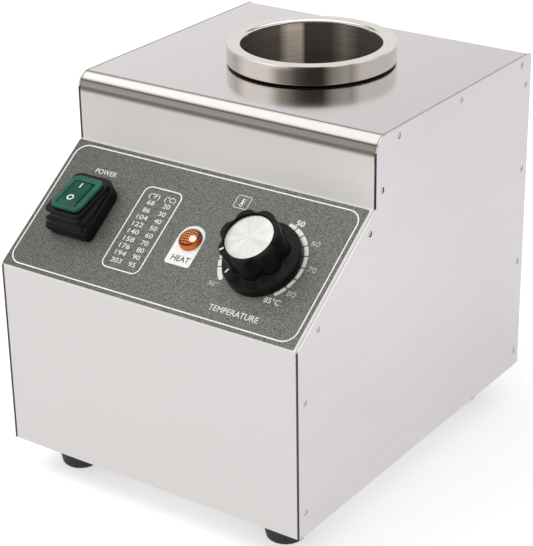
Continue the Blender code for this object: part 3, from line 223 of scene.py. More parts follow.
def grained(name, dark, light, scale, stretch=(1, 1, 1), rough=(0.3, 0.4), bump=0.1,
            depth=0.00005, detail=3, contrast=(0.35, 0.65), wear=0.0, paintedShade=None, **sockets):
    # two tones mixed by a noise that may be stretched, which also drives gloss and relief.
    # wear darkens broad patches, and a painted shade darkens the far end of a direction
    material, tree, shader = startMaterial(name, sockets)
    place = addNode(tree, "TexCoord").outputs["Object"]
    moved = addNode(tree, "Mapping", {"Vector": place, "Scale": stretch}).outputs["Vector"]
    noise = addNode(tree, "TexNoise", {"Vector": moved, "Scale": scale, "Detail": detail})
    level = noise.outputs["Fac"]
    colour = ramp(tree, level, [(contrast[0], dark), (contrast[1], light)])
    if wear:
        broad = addNode(tree, "TexNoise", {"Vector": place, "Scale": 28, "Detail": 4})
        tone = ramp(tree, broad.outputs["Fac"], [(0.3, (1 - wear,) * 3), (0.7, (1, 1, 1))])
        colour = multiplied(tree, colour, tone)
    # painted shade: darker towards the far end of the given direction
    if paintedShade:
        along, near, far, tone = paintedShade
        way = addNode(tree, "VectorMath", {0: place, 1: along}, operation="DOT_PRODUCT")
        way = addNode(tree, "MapRange", {"Value": way.outputs["Value"], "From Min": near,
                                         "From Max": far})
        tone = ramp(tree, way.outputs["Result"], [(0.0, (1, 1, 1)), (1.0, tone)])
        colour = multiplied(tree, colour, tone)
    tree.links.new(colour, shader.inputs["Base Color"])
    gloss = addNode(tree, "MapRange", {"Value": level, "To Min": rough[0], "To Max": rough[1]})
    tree.links.new(gloss.outputs["Result"], shader.inputs["Roughness"])
    relief = addNode(tree, "Bump", {"Height": level, "Strength": bump, "Distance": depth})
    tree.links.new(relief.outputs["Normal"], shader.inputs["Normal"])
    return material


def turnedMetal(name, axis, dark, light, rough, paintedBands, facing, beyond, lines=2600, bump=0.12,
                face=1.0, **sockets):
    # fine lines round an upright axis: a noise read at (radius, height) and slowly round.
    # Broad bands of painted reflection follow the angle from the facing direction, outside the radius
    # beyond. Inside it the metal is face times as bright, a painted shade where face is below one
    material, tree, shader = startMaterial(name, sockets)
    place = addNode(tree, "TexCoord").outputs["Object"]
    centred = addNode(tree, "Mapping", {"Vector": place, "Location": (-axis[0], -axis[1], 0)})
    turned = addNode(tree, "Mapping", {"Vector": centred.outputs["Vector"],
                                       "Rotation": (0, 0, -radians(facing))})
    parts = addNode(tree, "SeparateXYZ", {"Vector": turned.outputs["Vector"]})
    x, y, z = (parts.outputs[k] for k in "XYZ")
    angle = addNode(tree, "Math", {0: y, 1: x}, operation="ARCTAN2")
    flat = addNode(tree, "CombineXYZ", {"X": x, "Y": y})
    radius = addNode(tree, "VectorMath", {0: flat.outputs["Vector"]}, operation="LENGTH")
    turn = addNode(tree, "Math", {0: angle.outputs[0], 1: 0.0012}, operation="MULTIPLY")
    read = addNode(tree, "CombineXYZ", {"X": radius.outputs["Value"], "Y": z,
                                        "Z": turn.outputs[0]})
    noise = addNode(tree, "TexNoise", {"Vector": read.outputs["Vector"], "Scale": lines,
                                       "Detail": 4, "Roughness": 0.7})
    level = noise.outputs["Fac"]
    colour = ramp(tree, level, [(0.3, dark), (0.7, light)])
    # painted reflection: bands of light and dark by the angle round the axis
    across = addNode(tree, "MapRange", {"Value": angle.outputs[0], "From Min": -pi / 2,
                                        "From Max": pi / 2})
    tone = ramp(tree, across.outputs["Result"], [(f, tuple(v * k for k in (1, 0.965, 0.92)))
                                                 for f, v in paintedBands])
    outside = addNode(tree, "Math", {0: radius.outputs["Value"], 1: beyond},
                      operation="GREATER_THAN")
    within = ramp(tree, outside.outputs[0], [(0.0, (face,) * 3), (1.0, (1, 1, 1))])
    colour = multiplied(tree, colour, within)
    mixed = addNode(tree, "Mix", data_type="RGBA", blend_type="MULTIPLY")
    tree.links.new(outside.outputs[0], mixed.inputs["Factor"])
    tree.links.new(colour, mixed.inputs["A"])
    tree.links.new(tone, mixed.inputs["B"])
    tree.links.new(mixed.outputs["Result"], shader.inputs["Base Color"])
    gloss = addNode(tree, "MapRange", {"Value": level, "To Min": rough[0], "To Max": rough[1]})
    tree.links.new(gloss.outputs["Result"], shader.inputs["Roughness"])
    relief = addNode(tree, "Bump", {"Height": level, "Strength": bump, "Distance": 0.00004})
    tree.links.new(relief.outputs["Normal"], shader.inputs["Normal"])
    return material


def bentSteelPaintedReflections(name, edge):
    # polished above the height of edge, satin below it, both with painted reflection that changes
    # from left to right; the bend just above edge and a band along the top of the satin front are
    # painted darker as painted dark reflection
    material, tree, shader = startMaterial(name, {"Specular IOR Level": 0.3})
    place = addNode(tree, "TexCoord").outputs["Object"]
    moved = addNode(tree, "Mapping", {"Vector": place, "Scale": (1, 0.04, 0.04)})
    noise = addNode(tree, "TexNoise", {"Vector": moved.outputs["Vector"], "Scale": 420,
                                       "Detail": 3})
    level = noise.outputs["Fac"]
    parts = addNode(tree, "SeparateXYZ", {"Vector": place})
    height = parts.outputs["Z"]
    polish = addNode(tree, "MapRange", {"Value": height, "From Min": edge - 0.0002,
                                        "From Max": edge + 0.0003}).outputs["Result"]
    # painted reflection: the polished steel runs from lighter on the left to darker on the right, and
    # the satin front mixes its left and right tones
    across = addNode(tree, "MapRange", {"Value": parts.outputs["X"], "From Min": -0.09,
                                        "From Max": 0.09}).outputs["Result"]
    bright = ramp(tree, across, [(0.0, (0.735, 0.725, 0.738)), (1.0, (0.650, 0.630, 0.640))])
    # painted dark reflection on the bend just above edge
    bend = addNode(tree, "MapRange", {"Value": height, "From Min": edge,
                                      "From Max": edge + 0.004}).outputs["Result"]
    bright = multiplied(tree, bright, ramp(tree, bend, [
        (0.0, (0.50, 0.47, 0.44)), (0.50, (0.46, 0.43, 0.40)), (0.70, (0.54, 0.51, 0.48)),
        (0.80, (1.0, 1.0, 1.0))]))
    # painted reflection on the satin front: a dark band along its top, with tones that differ from
    # left to right
    rise = addNode(tree, "MapRange", {"Value": height, "From Min": 0.160,
                                      "From Max": edge}).outputs["Result"]
    left = ramp(tree, rise, [(0.0, (0.685, 0.660, 0.652)), (0.6, (0.64, 0.615, 0.595)),
                             (0.90, (0.61, 0.585, 0.565)), (0.93, (0.34, 0.32, 0.30)),
                             (0.955, (0.13, 0.12, 0.105)), (1.0, (0.15, 0.14, 0.12))])
    right = ramp(tree, rise, [(0.0, (0.685, 0.665, 0.655)), (0.6, (0.72, 0.70, 0.67)),
                              (0.90, (0.67, 0.645, 0.615)), (0.93, (0.38, 0.36, 0.33)),
                              (0.955, (0.14, 0.13, 0.11)), (1.0, (0.16, 0.15, 0.13))])
    satin = addNode(tree, "Mix", data_type="RGBA")
    tree.links.new(across, satin.inputs["Factor"])
    tree.links.new(left, satin.inputs["A"])
    tree.links.new(right, satin.inputs["B"])
    satin = satin.outputs["Result"]
    mixed = addNode(tree, "Mix", data_type="RGBA")
    tree.links.new(polish, mixed.inputs["Factor"])
    tree.links.new(satin, mixed.inputs["A"])
    tree.links.new(bright, mixed.inputs["B"])
    tree.links.new(mixed.outputs["Result"], shader.inputs["Base Color"])
    tree.links.new(polish, shader.inputs["Metallic"])
    gloss = addNode(tree, "MapRange", {"Value": polish, "To Min": 0.6, "To Max": 0.15})
    tree.links.new(gloss.outputs["Result"], shader.inputs["Roughness"])
    relief = addNode(tree, "Bump", {"Height": level, "Strength": 0.02, "Distance": 0.00003})
    tree.links.new(relief.outputs["Normal"], shader.inputs["Normal"])
    return material


def fromHex(value):
    # an eye colour from 0 to 255 as linear light
    c = np.array(value, float) / 255
    return tuple(np.where(c <= 0.04045, c / 12.92, ((c + 0.055) / 1.055) ** 2.4).tolist())


sheetSteel = bentSteelPaintedReflections("sheet_steel", 0.1936)
# painted shade: the side steel darkens further up and towards the back
sideSteel = grained("side_steel", (0.655, 0.625, 0.645), (0.668, 0.640, 0.662), 160,
                    stretch=(1, 0.04, 0.6), rough=(0.27, 0.32), bump=0.005,
                    paintedShade=((0, 1.175, 0.667), 0.013, 0.123, (0.92, 0.915, 0.92)), Metallic=1.0)


def paintedSeamShade(material, front, riser, foot):
    # painted shade: dull and nearly black on the edges in front of front, and of riser where higher
    # than foot, where the seams lie in shade
    tree = material.node_tree
    shader = tree.nodes["Principled BSDF"]
    parts = addNode(tree, "SeparateXYZ", {"Vector": addNode(tree, "TexCoord").outputs["Object"]})
    low = addNode(tree, "Math", {0: parts.outputs["Y"], 1: front}, operation="LESS_THAN")
    high = addNode(tree, "Math", {0: parts.outputs["Y"], 1: riser}, operation="LESS_THAN")
    above = addNode(tree, "Math", {0: parts.outputs["Z"], 1: foot}, operation="GREATER_THAN")
    high = addNode(tree, "Math", {0: high.outputs[0], 1: above.outputs[0]}, operation="MULTIPLY")
    seam = addNode(tree, "Math", {0: low.outputs[0], 1: high.outputs[0]}, operation="MAXIMUM")
    metal = addNode(tree, "Math", {0: 1.0, 1: seam.outputs[0]}, operation="SUBTRACT")
    plain = shader.inputs["Base Color"].links[0].from_socket
    both = addNode(tree, "Mix", data_type="RGBA")
    tree.links.new(seam.outputs[0], both.inputs["Factor"])
    tree.links.new(plain, both.inputs["A"])
    both.inputs["B"].default_value = (0.015, 0.012, 0.010, 1)
    tree.links.new(both.outputs["Result"], shader.inputs["Base Color"])
    tree.links.new(metal.outputs[0], shader.inputs["Metallic"])


# painted shade along the side panel's front and riser seams
paintedSeamShade(sideSteel, -0.11832, -0.05205, 0.1652)
backSteel = grained("back_steel", (0.60, 0.585, 0.575), (0.68, 0.665, 0.65), 180,
                    stretch=(1, 1, 0.04), rough=(0.26, 0.36), bump=0.05, Metallic=1.0)
panSteel = grained("pan_steel", (0.50, 0.49, 0.48), (0.62, 0.61, 0.59), 90,
                   rough=(0.34, 0.50), bump=0.08, wear=0.2, Metallic=1.0)
screwSteel = grained("screw_steel", (0.48, 0.47, 0.46), (0.66, 0.65, 0.63), 900,
                     rough=(0.22, 0.36), bump=0.1, Metallic=1.0)
# painted reflection: light and dark bands round the collar's outside; its top and bore are painted
# darker by face
ringPaintedReflections = [(0.1, 0.7), (0.16, 0.6), (0.22, 1.0), (0.35, 1.0), (0.4, 0.6), (0.44, 0.2),
               (0.48, 0.1), (0.53, 0.1), (0.57, 0.7), (0.64, 0.4), (0.68, 0.8), (0.9, 0.8)]
# painted light: light and dark bands round the well's wall
wellPaintedLight = [(0.0, 0.1), (0.25, 0.1), (0.33, 0.3), (0.4, 0.1), (0.52, 0.1), (0.54, 0.9),
               (0.6, 0.9), (0.65, 0.2), (0.9, 0.1)]
ringSteel = turnedMetal("ring_steel", wellAxis, (0.86, 0.84, 0.82), (0.97, 0.95, 0.93),
                        (0.08, 0.15), ringPaintedReflections, -54.7, 0.0439, face=0.84, Metallic=1.0)
wellSteel = turnedMetal("well_steel", wellAxis, (0.60, 0.52, 0.44), (0.95, 0.86, 0.76),
                        (0.42, 0.55), wellPaintedLight, 125.3, 0.030, lines=1100, bump=0.3,
                        **{"Specular IOR Level": 0.12})
blackRubber = grained("black_rubber", (0.003, 0.003, 0.003), (0.006, 0.006, 0.006), 700,
                      rough=(0.26, 0.36), bump=0.05, wear=0.2,
                      **{"Specular IOR Level": 0.15})
footRubber = grained("foot_rubber", (0.010, 0.010, 0.011), (0.024, 0.024, 0.025), 500,
                     rough=(0.55, 0.72), bump=0.25, wear=0.3)
blackPlastic = grained("black_plastic", (0.003, 0.003, 0.003), (0.005, 0.005, 0.005), 1500,
                       rough=(0.22, 0.30), bump=0.03)
greyPlastic = grained("grey_plastic", (0.50, 0.48, 0.45), (0.62, 0.60, 0.56), 400,
                      rough=(0.4, 0.5), bump=0.08, wear=0.1)
# painted shade: the label film darkens towards its left end
labelFilm = grained("label_film", fromHex((48, 50, 46)), fromHex((134, 136, 128)), 1750,
                    rough=(0.50, 0.62), bump=0.2, depth=0.00003, detail=2,
                    contrast=(0.33, 0.67), paintedShade=((-1, 0, 0), -0.03, 0.085, (0.72, 0.72, 0.72)))
whiteInk = grained("white_ink", (0.72, 0.72, 0.70), (0.86, 0.86, 0.84), 900,
                   rough=(0.4, 0.5), bump=0.03)
greyInk = grained("grey_ink", (0.40, 0.41, 0.39), (0.58, 0.59, 0.56), 900,
                  rough=(0.4, 0.5), bump=0.03)
darkInk = grained("dark_ink", (0.03, 0.03, 0.03), (0.07, 0.07, 0.07), 900,
                  rough=(0.4, 0.5), bump=0.03)
greenPlastic = grained("green_plastic", (0.003, 0.085, 0.050), (0.006, 0.115, 0.068), 260,
                       rough=(0.22, 0.32), bump=0.03, wear=0.25,
                       **{"Specular IOR Level": 0.25})
knobPlastic = grained("knob_plastic", (0.003, 0.003, 0.003), (0.005, 0.005, 0.005), 1500,
                      rough=(0.20, 0.28), bump=0.02, **{"Specular IOR Level": 0.15})
copper = grained("copper", (0.55, 0.28, 0.16), (0.74, 0.42, 0.27), 120, rough=(0.25, 0.4),
                 wear=0.3, Metallic=1.0)
brass = grained("brass", (0.58, 0.42, 0.18), (0.74, 0.56, 0.28), 200, rough=(0.25, 0.4),
                wear=0.2, Metallic=1.0)
heaterMetal = grained("heater_metal", (0.28, 0.25, 0.21), (0.50, 0.46, 0.40), 60,
                      rough=(0.35, 0.55), bump=0.1, wear=0.3, Metallic=0.9)
fibre = grained("fibre", (0.55, 0.52, 0.45), (0.80, 0.77, 0.70), 350, stretch=(1, 1, 3),
                rough=(0.85, 0.95), bump=0.6, depth=0.0003)
print("materials ready")

# Casing: the bent sheet and the turned pieces get smooth faces, the rest keeps its CAD node

smoothCopy("wrap_shell", sheetSteel, sharp=20)
smoothCopy("back_panel", backSteel, sharp=20)
smoothCopy("base_pan", panSteel, sharp=20)
for side in ("left", "right"):
    smoothCopy("side_panel_" + side, sideSteel, sharp=20)
for i in range(1, 5):
    smoothCopy(f"foot_{i}", footRubber, sharp=50, weighted=False)
smoothCopy("gland_body", blackPlastic)
print("casing finished")

# Collar and well, turned with fine steps

collar = {"bore": 0.0367, "outer": 0.0443, "low": 0.2012, "high": 0.21095, "innerRound": 0.0017,
          "outerRound": 0.0005, "flange": 0.0428, "step": 0.2025}
inner = arcPoints((collar["bore"] + collar["innerRound"], collar["high"] - collar["innerRound"]),
                  collar["innerRound"], 180, 90, 10)
outer = arcPoints((collar["outer"] - collar["outerRound"], collar["high"] - collar["outerRound"]),
                  collar["outerRound"], 90, 0, 5)
lower = arcPoints((collar["outer"] - collar["outerRound"], collar["low"] + collar["outerRound"]),
                  collar["outerRound"], 0, -90, 4)
under = [(collar["flange"], collar["low"]), (collar["flange"], collar["step"]),
         (collar["bore"], collar["step"])]
ring = ringedSurface("collar", turnedRings(np.vstack([inner, outer, lower, under]), 180, wellAxis),
                     ringSteel, "root", loop=True, even=True)
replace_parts(ring, "collar_ring")

well = {"bore": 0.0367, "wall": 0.0010, "floor": 0.0625, "bend": 0.006, "flange": 0.0425,
        "top": 0.2022, "shown": 0.2091, "skin": 0.00008}
innerBend = arcPoints((well["bore"] - well["bend"] + well["wall"],
                       well["floor"] + well["bend"]), well["bend"] - well["wall"], -90, 0, 12)
outerBend = arcPoints((well["bore"] - well["bend"] + well["wall"],
                       well["floor"] + well["bend"]), well["bend"], 0, -90, 12)
outerRadius = well["bore"] + well["wall"]
lining = well["bore"] - well["skin"]
rim = [(lining, well["top"]), (lining, well["shown"]), (well["bore"], well["shown"]),
       (well["bore"], well["top"]), (well["flange"], well["top"]),
       (well["flange"], well["top"] - well["wall"]), (outerRadius, well["top"] - well["wall"])]
floorRings = [(r, well["floor"] + well["wall"]) for r in (0.0005, 0.010, 0.020)]
lowRings = [(r, well["floor"]) for r in (0.020, 0.010, 0.0005)]
profile = np.vstack([floorRings, innerBend, rim, outerBend, lowRings])
cup = ringedSurface("well_lining", turnedRings(profile, 180, wellAxis), wellSteel, "root")
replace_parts(cup, "well_cup")
print("collar and well ready")

# Screws of the side panels: low domes with a cross in the head

sideScrews = {"radius": 0.0017, "dome": 0.00025, "slot": 0.00035, "reach": 0.0011,
              "places": [(5.7, 13.0), (5.6, 71.7), (16.6, 104.8), (60.9, 137.0), (71.1, 154.8),
                         (86.2, 178.0), (145.8, 177.9), (208.7, 177.7), (214.2, 166.2),
                         (214.1, 118.7), (214.1, 64.6), (214.0, 9.9)]}


def screwHeads(name, side):
    # dome of height 1 - (r/R) squared, with a cross pressed in
    s = sideScrews
    r = np.linspace(0.02, 1, 9)[:, None] * s["radius"]
    a = np.linspace(0, 2 * pi, 40, endpoint=False)[None]
    x, y = r * np.cos(a + 0.6), r * np.sin(a + 0.6)
    h = -s["dome"] * (r / s["radius"]) ** 2 - 0.00003 + 0 * a
    near = np.minimum(np.abs(x), np.abs(y)) / s["slot"]
    h = h - 0.0003 * np.clip(1.4 - near, 0, 1) * (r < s["reach"])
    x, y = r * np.cos(a), r * np.sin(a)
    base = np.stack([x[-1], y[-1], np.full(40, -0.00095)], -1)
    rings = np.concatenate([np.stack([x, y, h], -1), base[None]])
    points, faces = [], []
    for py, pz in s["places"]:
        start = sum(len(p) for p in points)
        placed = onCasing(side * (casing["width"] / 2 + rings[..., 2]),
                          py / 1000 + rings[..., 0], pz / 1000 + rings[..., 1])
        ends = np.stack([placed[0].mean(0), placed[-1].mean(0)])
        points.append(np.vstack([placed.reshape(-1, 3), ends]))
        count = 40
        low = start + len(rings) * count
        first = np.arange(count) + start
        last = first + (len(rings) - 1) * count
        faces += gridFaces(len(rings), count, start=start)
        faces += np.stack([np.roll(first, -1), first, np.full(count, low)], -1).tolist()
        faces += np.stack([last, np.roll(last, -1), np.full(count, low + 1)], -1).tolist()
    return addMesh(name, np.vstack(points), faces, screwSteel, "root")


screwHeads("side_screws_right", 1)
screwHeads("side_screws_left", -1)
print("side screws ready")

# Printing on the label: thin closed films over the slope

labelTop = 0.0004


def filmShape(curve, place=lambda p: p, low=labelTop, thick=0.00005, lay=onSlope):
    # a filled flat curve as points and faces, laid on a surface between two heights
    curve.extrude = 0.5
    obj = bpy.data.objects.new("drawing", curve)
    bpy.context.scene.collection.objects.link(obj)
    graph = bpy.context.evaluated_depsgraph_get()
    mesh = bpy.data.meshes.new_from_object(obj.evaluated_get(graph))
    points = np.array([v.co for v in mesh.vertices]).reshape(-1, 3)
    faces = [tuple(p.vertices) for p in mesh.polygons]
    bpy.data.objects.remove(obj, do_unlink=True)
    bpy.data.meshes.remove(mesh)
    flat = place(points[:, :2])
    height = low + thick * (points[:, 2] + 0.5)
    return lay(flat[:, 0] / 1000, flat[:, 1] / 1000, height), faces


def loopShape(*loops, **extra):
    # filled outline with holes, in millimetres on the slope
    curve = bpy.data.curves.new("loops", "CURVE")
    curve.dimensions = "2D"
    curve.fill_mode = "BOTH"
    for loop in loops:
        spline = curve.splines.new("POLY")
        spline.points.add(len(loop) - 1)
        flat = np.c_[loop, np.zeros(len(loop)), np.ones(len(loop))]
        spline.points.foreach_set("co", flat.ravel())
        spline.use_cyclic_u = True
    return filmShape(curve, **extra)


def wordShape(word, middle, height, width=None, bold=0.0, **extra):
    # lettering scaled to its height, and to its width where one is given, in millimetres
    curve = bpy.data.curves.new("word", "FONT")
    curve.body = word
    curve.offset = bold
    curve.resolution_u = 4

    def place(p):
        low, high = p.min(0), p.max(0)
        tall = height / 0.72
        wide = width / (high[0] - low[0]) if width else tall * 0.86
        return np.c_[(p[:, 0] - (low[0] + high[0]) / 2) * wide + middle[0],
                     (p[:, 1] - 0.36) * tall + middle[1]]
    return filmShape(curve, place=place, **extra)


def printed(name, shapes, material, body="root"):
    points, faces, start = [], [], 0
    for p, f in shapes:
        points.append(p)
        faces += [tuple(i + start for i in face) for face in f]
        start += len(p)
    return addMesh(name, np.vstack(points), faces, material, body)


def outlineShape(halfWidth, halfLength, corner, centre, line):
    return loopShape(roundedLoop(halfWidth, halfLength, corner, 10, centre),
                     roundedLoop(halfWidth - line, halfLength - line, corner - line, 10, centre))


film = loopShape(roundedLoop(88.45, 39.75, 0.8, 4, (-1.45, 40.4)),
                 roundedLoop(12.8, 15.5, (6.5, 5.0, 3.4, 2.0), 8, (-60.45, 40.0)),
                 arcPoints((5.3, 41.1), 5.6, 0, 354, 59), arcPoints((49.3, 39.9), 8.5, 0, 354, 59),
                 low=0.0001, thick=0.0003)
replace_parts(printed("label_film", [film], labelFilm), "control_label")

table = {"middle": (-23.55, 39.0), "half": (11.75, 24.8), "corner": 4.2, "line": 0.65,
         "columns": (-27.6, -17.8), "head": 58.8, "height": 2.75,
         "rows": (54.6, 50.0, 45.6, 41.3, 36.8, 32.3, 28.0, 23.8, 19.4),
         "warm": ("68", "86", "104", "122", "140", "158", "176", "194", "203"),
         "cool": ("20", "30", "40", "50", "60", "70", "80", "90", "95")}
shapes = [outlineShape(86.65, 37.7, 7.5, (-1.35, 40.33), 0.7),
          outlineShape(*table["half"], table["corner"], table["middle"], table["line"])]
thin = [wordShape("(°F)", (table["columns"][0], table["head"]), 2.9, 6.6),
        wordShape("(°C)", (table["columns"][1], table["head"]), 2.9, 6.6)]
for row, warm, cool in zip(table["rows"], table["warm"], table["cool"]):
    for word, column in zip((warm, cool), table["columns"]):
        thin.append(wordShape(word, (column, row), table["height"], 2.25 * len(word) - 0.25))
thin.append(wordShape("POWER", (-62.5, 64.6), 3.0, 13.4))
thin.append(wordShape("TEMPERATURE", (48.6, 9.8), 3.3, 28.2))

# Scale of the knob: an arc in segments, with rounded ends
scale = {"middle": (48.1, 40.3), "inner": 20.7, "outer": 22.95, "start": 223, "end": -43,
         "ticks": (205.1, 193.5, 180.5, 164.5, 148.5, 132.5, 116.5, 100.5, 82.0, 68.3, 53.1,
                   36.7, 20.8, 3.8, -13.5, -28.5), "gap": 2.0}
edges = [scale["start"], *scale["ticks"], scale["end"]]
for i, (a, b) in enumerate(zip(edges, edges[1:])):
    if 82 < (a + b) / 2 < 130:
        # the arc is broken above the knob
        continue
    a -= scale["gap"] / 2 if i else 0
    b += scale["gap"] / 2 if i < len(edges) - 2 else 0
    far = arcPoints(scale["middle"], scale["outer"], a, b, 8)
    near = arcPoints(scale["middle"], scale["inner"], b, a, 8)
    middle = (scale["inner"] + scale["outer"]) / 2
    cap = (scale["outer"] - scale["inner"]) / 2
    loop = [far]
    if i == len(edges) - 2:
        at = arcPoints(scale["middle"], middle, b, b, 1)[0]
        loop.append(arcPoints(at, cap, b, b - 180, 8)[1:-1])
    loop.append(near)
    if i == 0:
        at = arcPoints(scale["middle"], middle, a, a, 1)[0]
        loop.append(arcPoints(at, cap, a + 180, a, 8)[1:-1])
    shapes.append(loopShape(np.vstack(loop)))
thin += [wordShape("50", (56.9, 64.2), 3.1, 4.7, bold=0.02),
         wordShape("85°C", (64.2, 21.2), 3.1, 8.8, bold=0.006)]
faint = [wordShape("30°", (29.8, 21.6), 2.6, 5.4), wordShape("60", (70.0, 55.8), 3.0, 4.7),
         wordShape("70", (75.2, 42.2), 3.0, 4.7), wordShape("80", (71.6, 27.4), 3.0, 4.7)]

# Thermometer in a rounded frame
bulb = arcPoints((20.9, 65.9), 1.0, 118, 422, 20)
stem = arcPoints((20.9, 69.3), 0.42, 0, 180, 8)
thin += [outlineShape(4.1, 3.7, 1.1, (21.0, 67.5), 0.3),
         loopShape(np.vstack([bulb, stem]), arcPoints((20.9, 65.9), 0.6, 0, 342, 18))]
thin += [loopShape(roundedLoop(0.4, 0.12, 0.1, 2, (22.2, v))) for v in (67.4, 68.3, 69.2)]
printed("label_lines", shapes, whiteInk)
printed("label_lettering", thin, whiteInk)
printed("label_faint_lettering", faint, greyInk)

# White tag round the lamp
lampPlace = (5.3, 41.1)
crown = arcPoints(lampPlace, 7.5, 0, 180, 24)
foot = np.vstack([arcPoints((-0.7, 27.0), 1.5, 180, 270, 6),
                  arcPoints((11.3, 27.0), 1.5, 270, 360, 6)])
tag = loopShape(np.vstack([crown, foot]), arcPoints(lampPlace, 5.2, 0, 352, 44))
printed("heat_tag", [tag], whiteInk)
printed("heat_word", [wordShape("HEAT", (6.0, 29.4), 3.3, 10.6, bold=0.01, low=0.00047)], darkInk)
print("label printed")

# Lamp: a domed amber lens with small pyramids moulded in

lens = {"radius": 6.15, "rim": 0.4, "dome": 3.4, "low": 0.7, "pitch": 1.35, "relief": 0.28,
        "aside": (0.5, -0.8)}


def lensMaterial():
    # amber with a painted grid of light dots on the moulded pyramids, painted shade towards its edge
    # and a painted rim lighter at the bottom than at the top, with a bright spot where the light
    # shines through
    material, tree, shader = startMaterial("amber_lens", {
        "Roughness": 0.09, "Specular IOR Level": 0.3, "Coat Weight": 0.15})
    place = addNode(tree, "TexCoord").outputs["Object"]
    middle = onSlope(lampPlace[0] / 1000, lampPlace[1] / 1000, 0.0015)
    centred = addNode(tree, "Mapping", {"Vector": place, "Location": (-middle).tolist()})
    level = addNode(tree, "Mapping", {"Vector": centred.outputs["Vector"],
                                      "Rotation": (-slopeAngle, 0, 0), "Scale": (1, 1, 1)})
    flat = addNode(tree, "Mapping", {"Vector": level.outputs["Vector"], "Scale": (1, 1, 0)})
    cells = addNode(tree, "TexVoronoi", {"Vector": flat.outputs["Vector"], "Scale": 720,
                                         "Randomness": 0.0})
    # painted light: a bright dot on each pyramid
    paintedLightDots = ramp(tree, cells.outputs["Distance"], [
        (0.0, (1.0, 0.62, 0.30)), (0.20, (0.75, 0.24, 0.04)), (0.40, (0.26, 0.045, 0.005)),
        (0.62, (0.06, 0.009, 0.002))])
    out = addNode(tree, "VectorMath", {0: flat.outputs["Vector"]}, operation="LENGTH")
    edge = addNode(tree, "MapRange", {"Value": out.outputs["Value"], "From Max": 0.0062})
    # painted shade towards the edge of the lens
    tone = ramp(tree, edge.outputs["Result"], [
        (0.0, (1, 1, 1)), (0.74, (0.85, 0.85, 0.85)), (0.84, (0.14, 0.08, 0.06)),
        (0.93, (0.16, 0.08, 0.05))])
    mixed = multiplied(tree, paintedLightDots, tone)
    # painted light on the rim: bright orange at the bottom, dark at the top
    rim = ramp(tree, edge.outputs["Result"], [(0.89, (0.0, 0.0, 0.0)), (0.97, (1.0, 1.0, 1.0))])
    side = addNode(tree, "SeparateXYZ", {"Vector": flat.outputs["Vector"]}).outputs["Y"]
    side = addNode(tree, "MapRange", {"Value": side, "From Min": -0.004, "From Max": 0.004})
    rim = multiplied(tree, rim, ramp(tree, side.outputs["Result"], [
        (0.0, (0.58, 0.13, 0.008)), (0.45, (0.22, 0.035, 0.005)), (1.0, (0.10, 0.02, 0.005))]))
    lit = addNode(tree, "Mix", data_type="RGBA", blend_type="ADD")
    lit.inputs["Factor"].default_value = 1
    tree.links.new(mixed, lit.inputs["A"])
    tree.links.new(rim, lit.inputs["B"])
    tree.links.new(lit.outputs["Result"], shader.inputs["Base Color"])
    spot = onSlope((lampPlace[0] + 3.2) / 1000, (lampPlace[1] - 1.2) / 1000, 0.0037).tolist()
    away = addNode(tree, "VectorMath", {0: place, 1: spot}, operation="DISTANCE")
    glow = addNode(tree, "MapRange", {"Value": away.outputs["Value"], "From Min": 0.0008,
                                      "From Max": 0.0027, "To Min": 1.0, "To Max": 0.0})
    bright = ramp(tree, glow.outputs["Result"], [
        (0.0, (0.0, 0.0, 0.0)), (0.4, (0.30, 0.10, 0.02)), (0.65, (1.0, 0.86, 0.70))])
    tree.links.new(bright, shader.inputs["Emission Color"])
    shader.inputs["Emission Strength"].default_value = 1.0
    return material


amber = lensMaterial()
t = np.linspace(0.03, 1, 30)[:, None]
a = np.linspace(0, 2 * pi, 120, endpoint=False)[None]
r = lens["radius"] * np.sin(t * pi / 2)
x, y = r * np.cos(a), r * np.sin(a)
h = lens["low"] + lens["rim"] + (lens["dome"] - lens["rim"]) * np.cos(t * pi / 2) + 0 * a
# each small pyramid rises with the lesser of two saw waves
saws = [1 - 2 * np.abs(((p / lens["pitch"]) % 1) - 0.5) for p in (x + 0.3, y)]
h = h + lens["relief"] * (np.minimum(*saws) - 0.5) * (r < lens["radius"] * 0.86)
side = np.stack([x[-1], y[-1], np.full(120, lens["low"])], -1)
rings = np.concatenate([np.stack([x, y, h], -1), side[None]])
middle = np.array(lampPlace) + lens["aside"]
placed = onSlope((rings[..., 0] + middle[0]) / 1000, (rings[..., 1] + middle[1]) / 1000,
                 rings[..., 2] / 1000)
lensPiece = ringedSurface("lamp_lens_faceted", placed, amber, "root", sharp=12)
skirt = turnedRings([(0.0046, 0.0007), (0.0046, -0.0066), (0.0037, -0.0066), (0.0037, 0.0006)],
                    48, (0, 0))
placed = onSlope(skirt[..., 0] + lampPlace[0] / 1000, skirt[..., 1] + lampPlace[1] / 1000,
                 skirt[..., 2])
lensSkirt = ringedSurface("lamp_lens_skirt", placed, amber, "root", loop=True)
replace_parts(lensPiece, "lamp_lens")
print("lamp ready")

# Knob: skirt, seven lobes with rounded flutes between them, and a recessed cap

knob = {"place": (49.302, 39.898), "base": 0.6, "skirt": 20.2, "rim": 18.85, "rimHigh": 5.7,
        "foot": 7.0, "grip": 15.75, "top": 22.3, "flute": 2.1, "turn": -2.1, "recess": 12.5,
        "depth": 2.1, "cavity": 18.0, "cavityHigh": 3.6, "hub": 7.5}
knobAngles = np.linspace(0, 2 * pi, 7 * 40, endpoint=False)


def knobRing(radius, height, flute=0.0):
    # radius less a flute that is deep only near its own angle, seven times round
    wave = (1 + np.cos(7 * (knobAngles - radians(knob["turn"])))) / 2
    r = radius - flute * wave ** 1.9
    return np.stack([r * np.cos(knobAngles), r * np.sin(knobAngles),
                     np.full(len(knobAngles), height)], -1)


def onKnob(points):
    points = np.asarray(points) / 1000
    u, v = np.array(knob["place"]) / 1000
    return onSlope(points[..., 0] + u, points[..., 1] + v, points[..., 2])


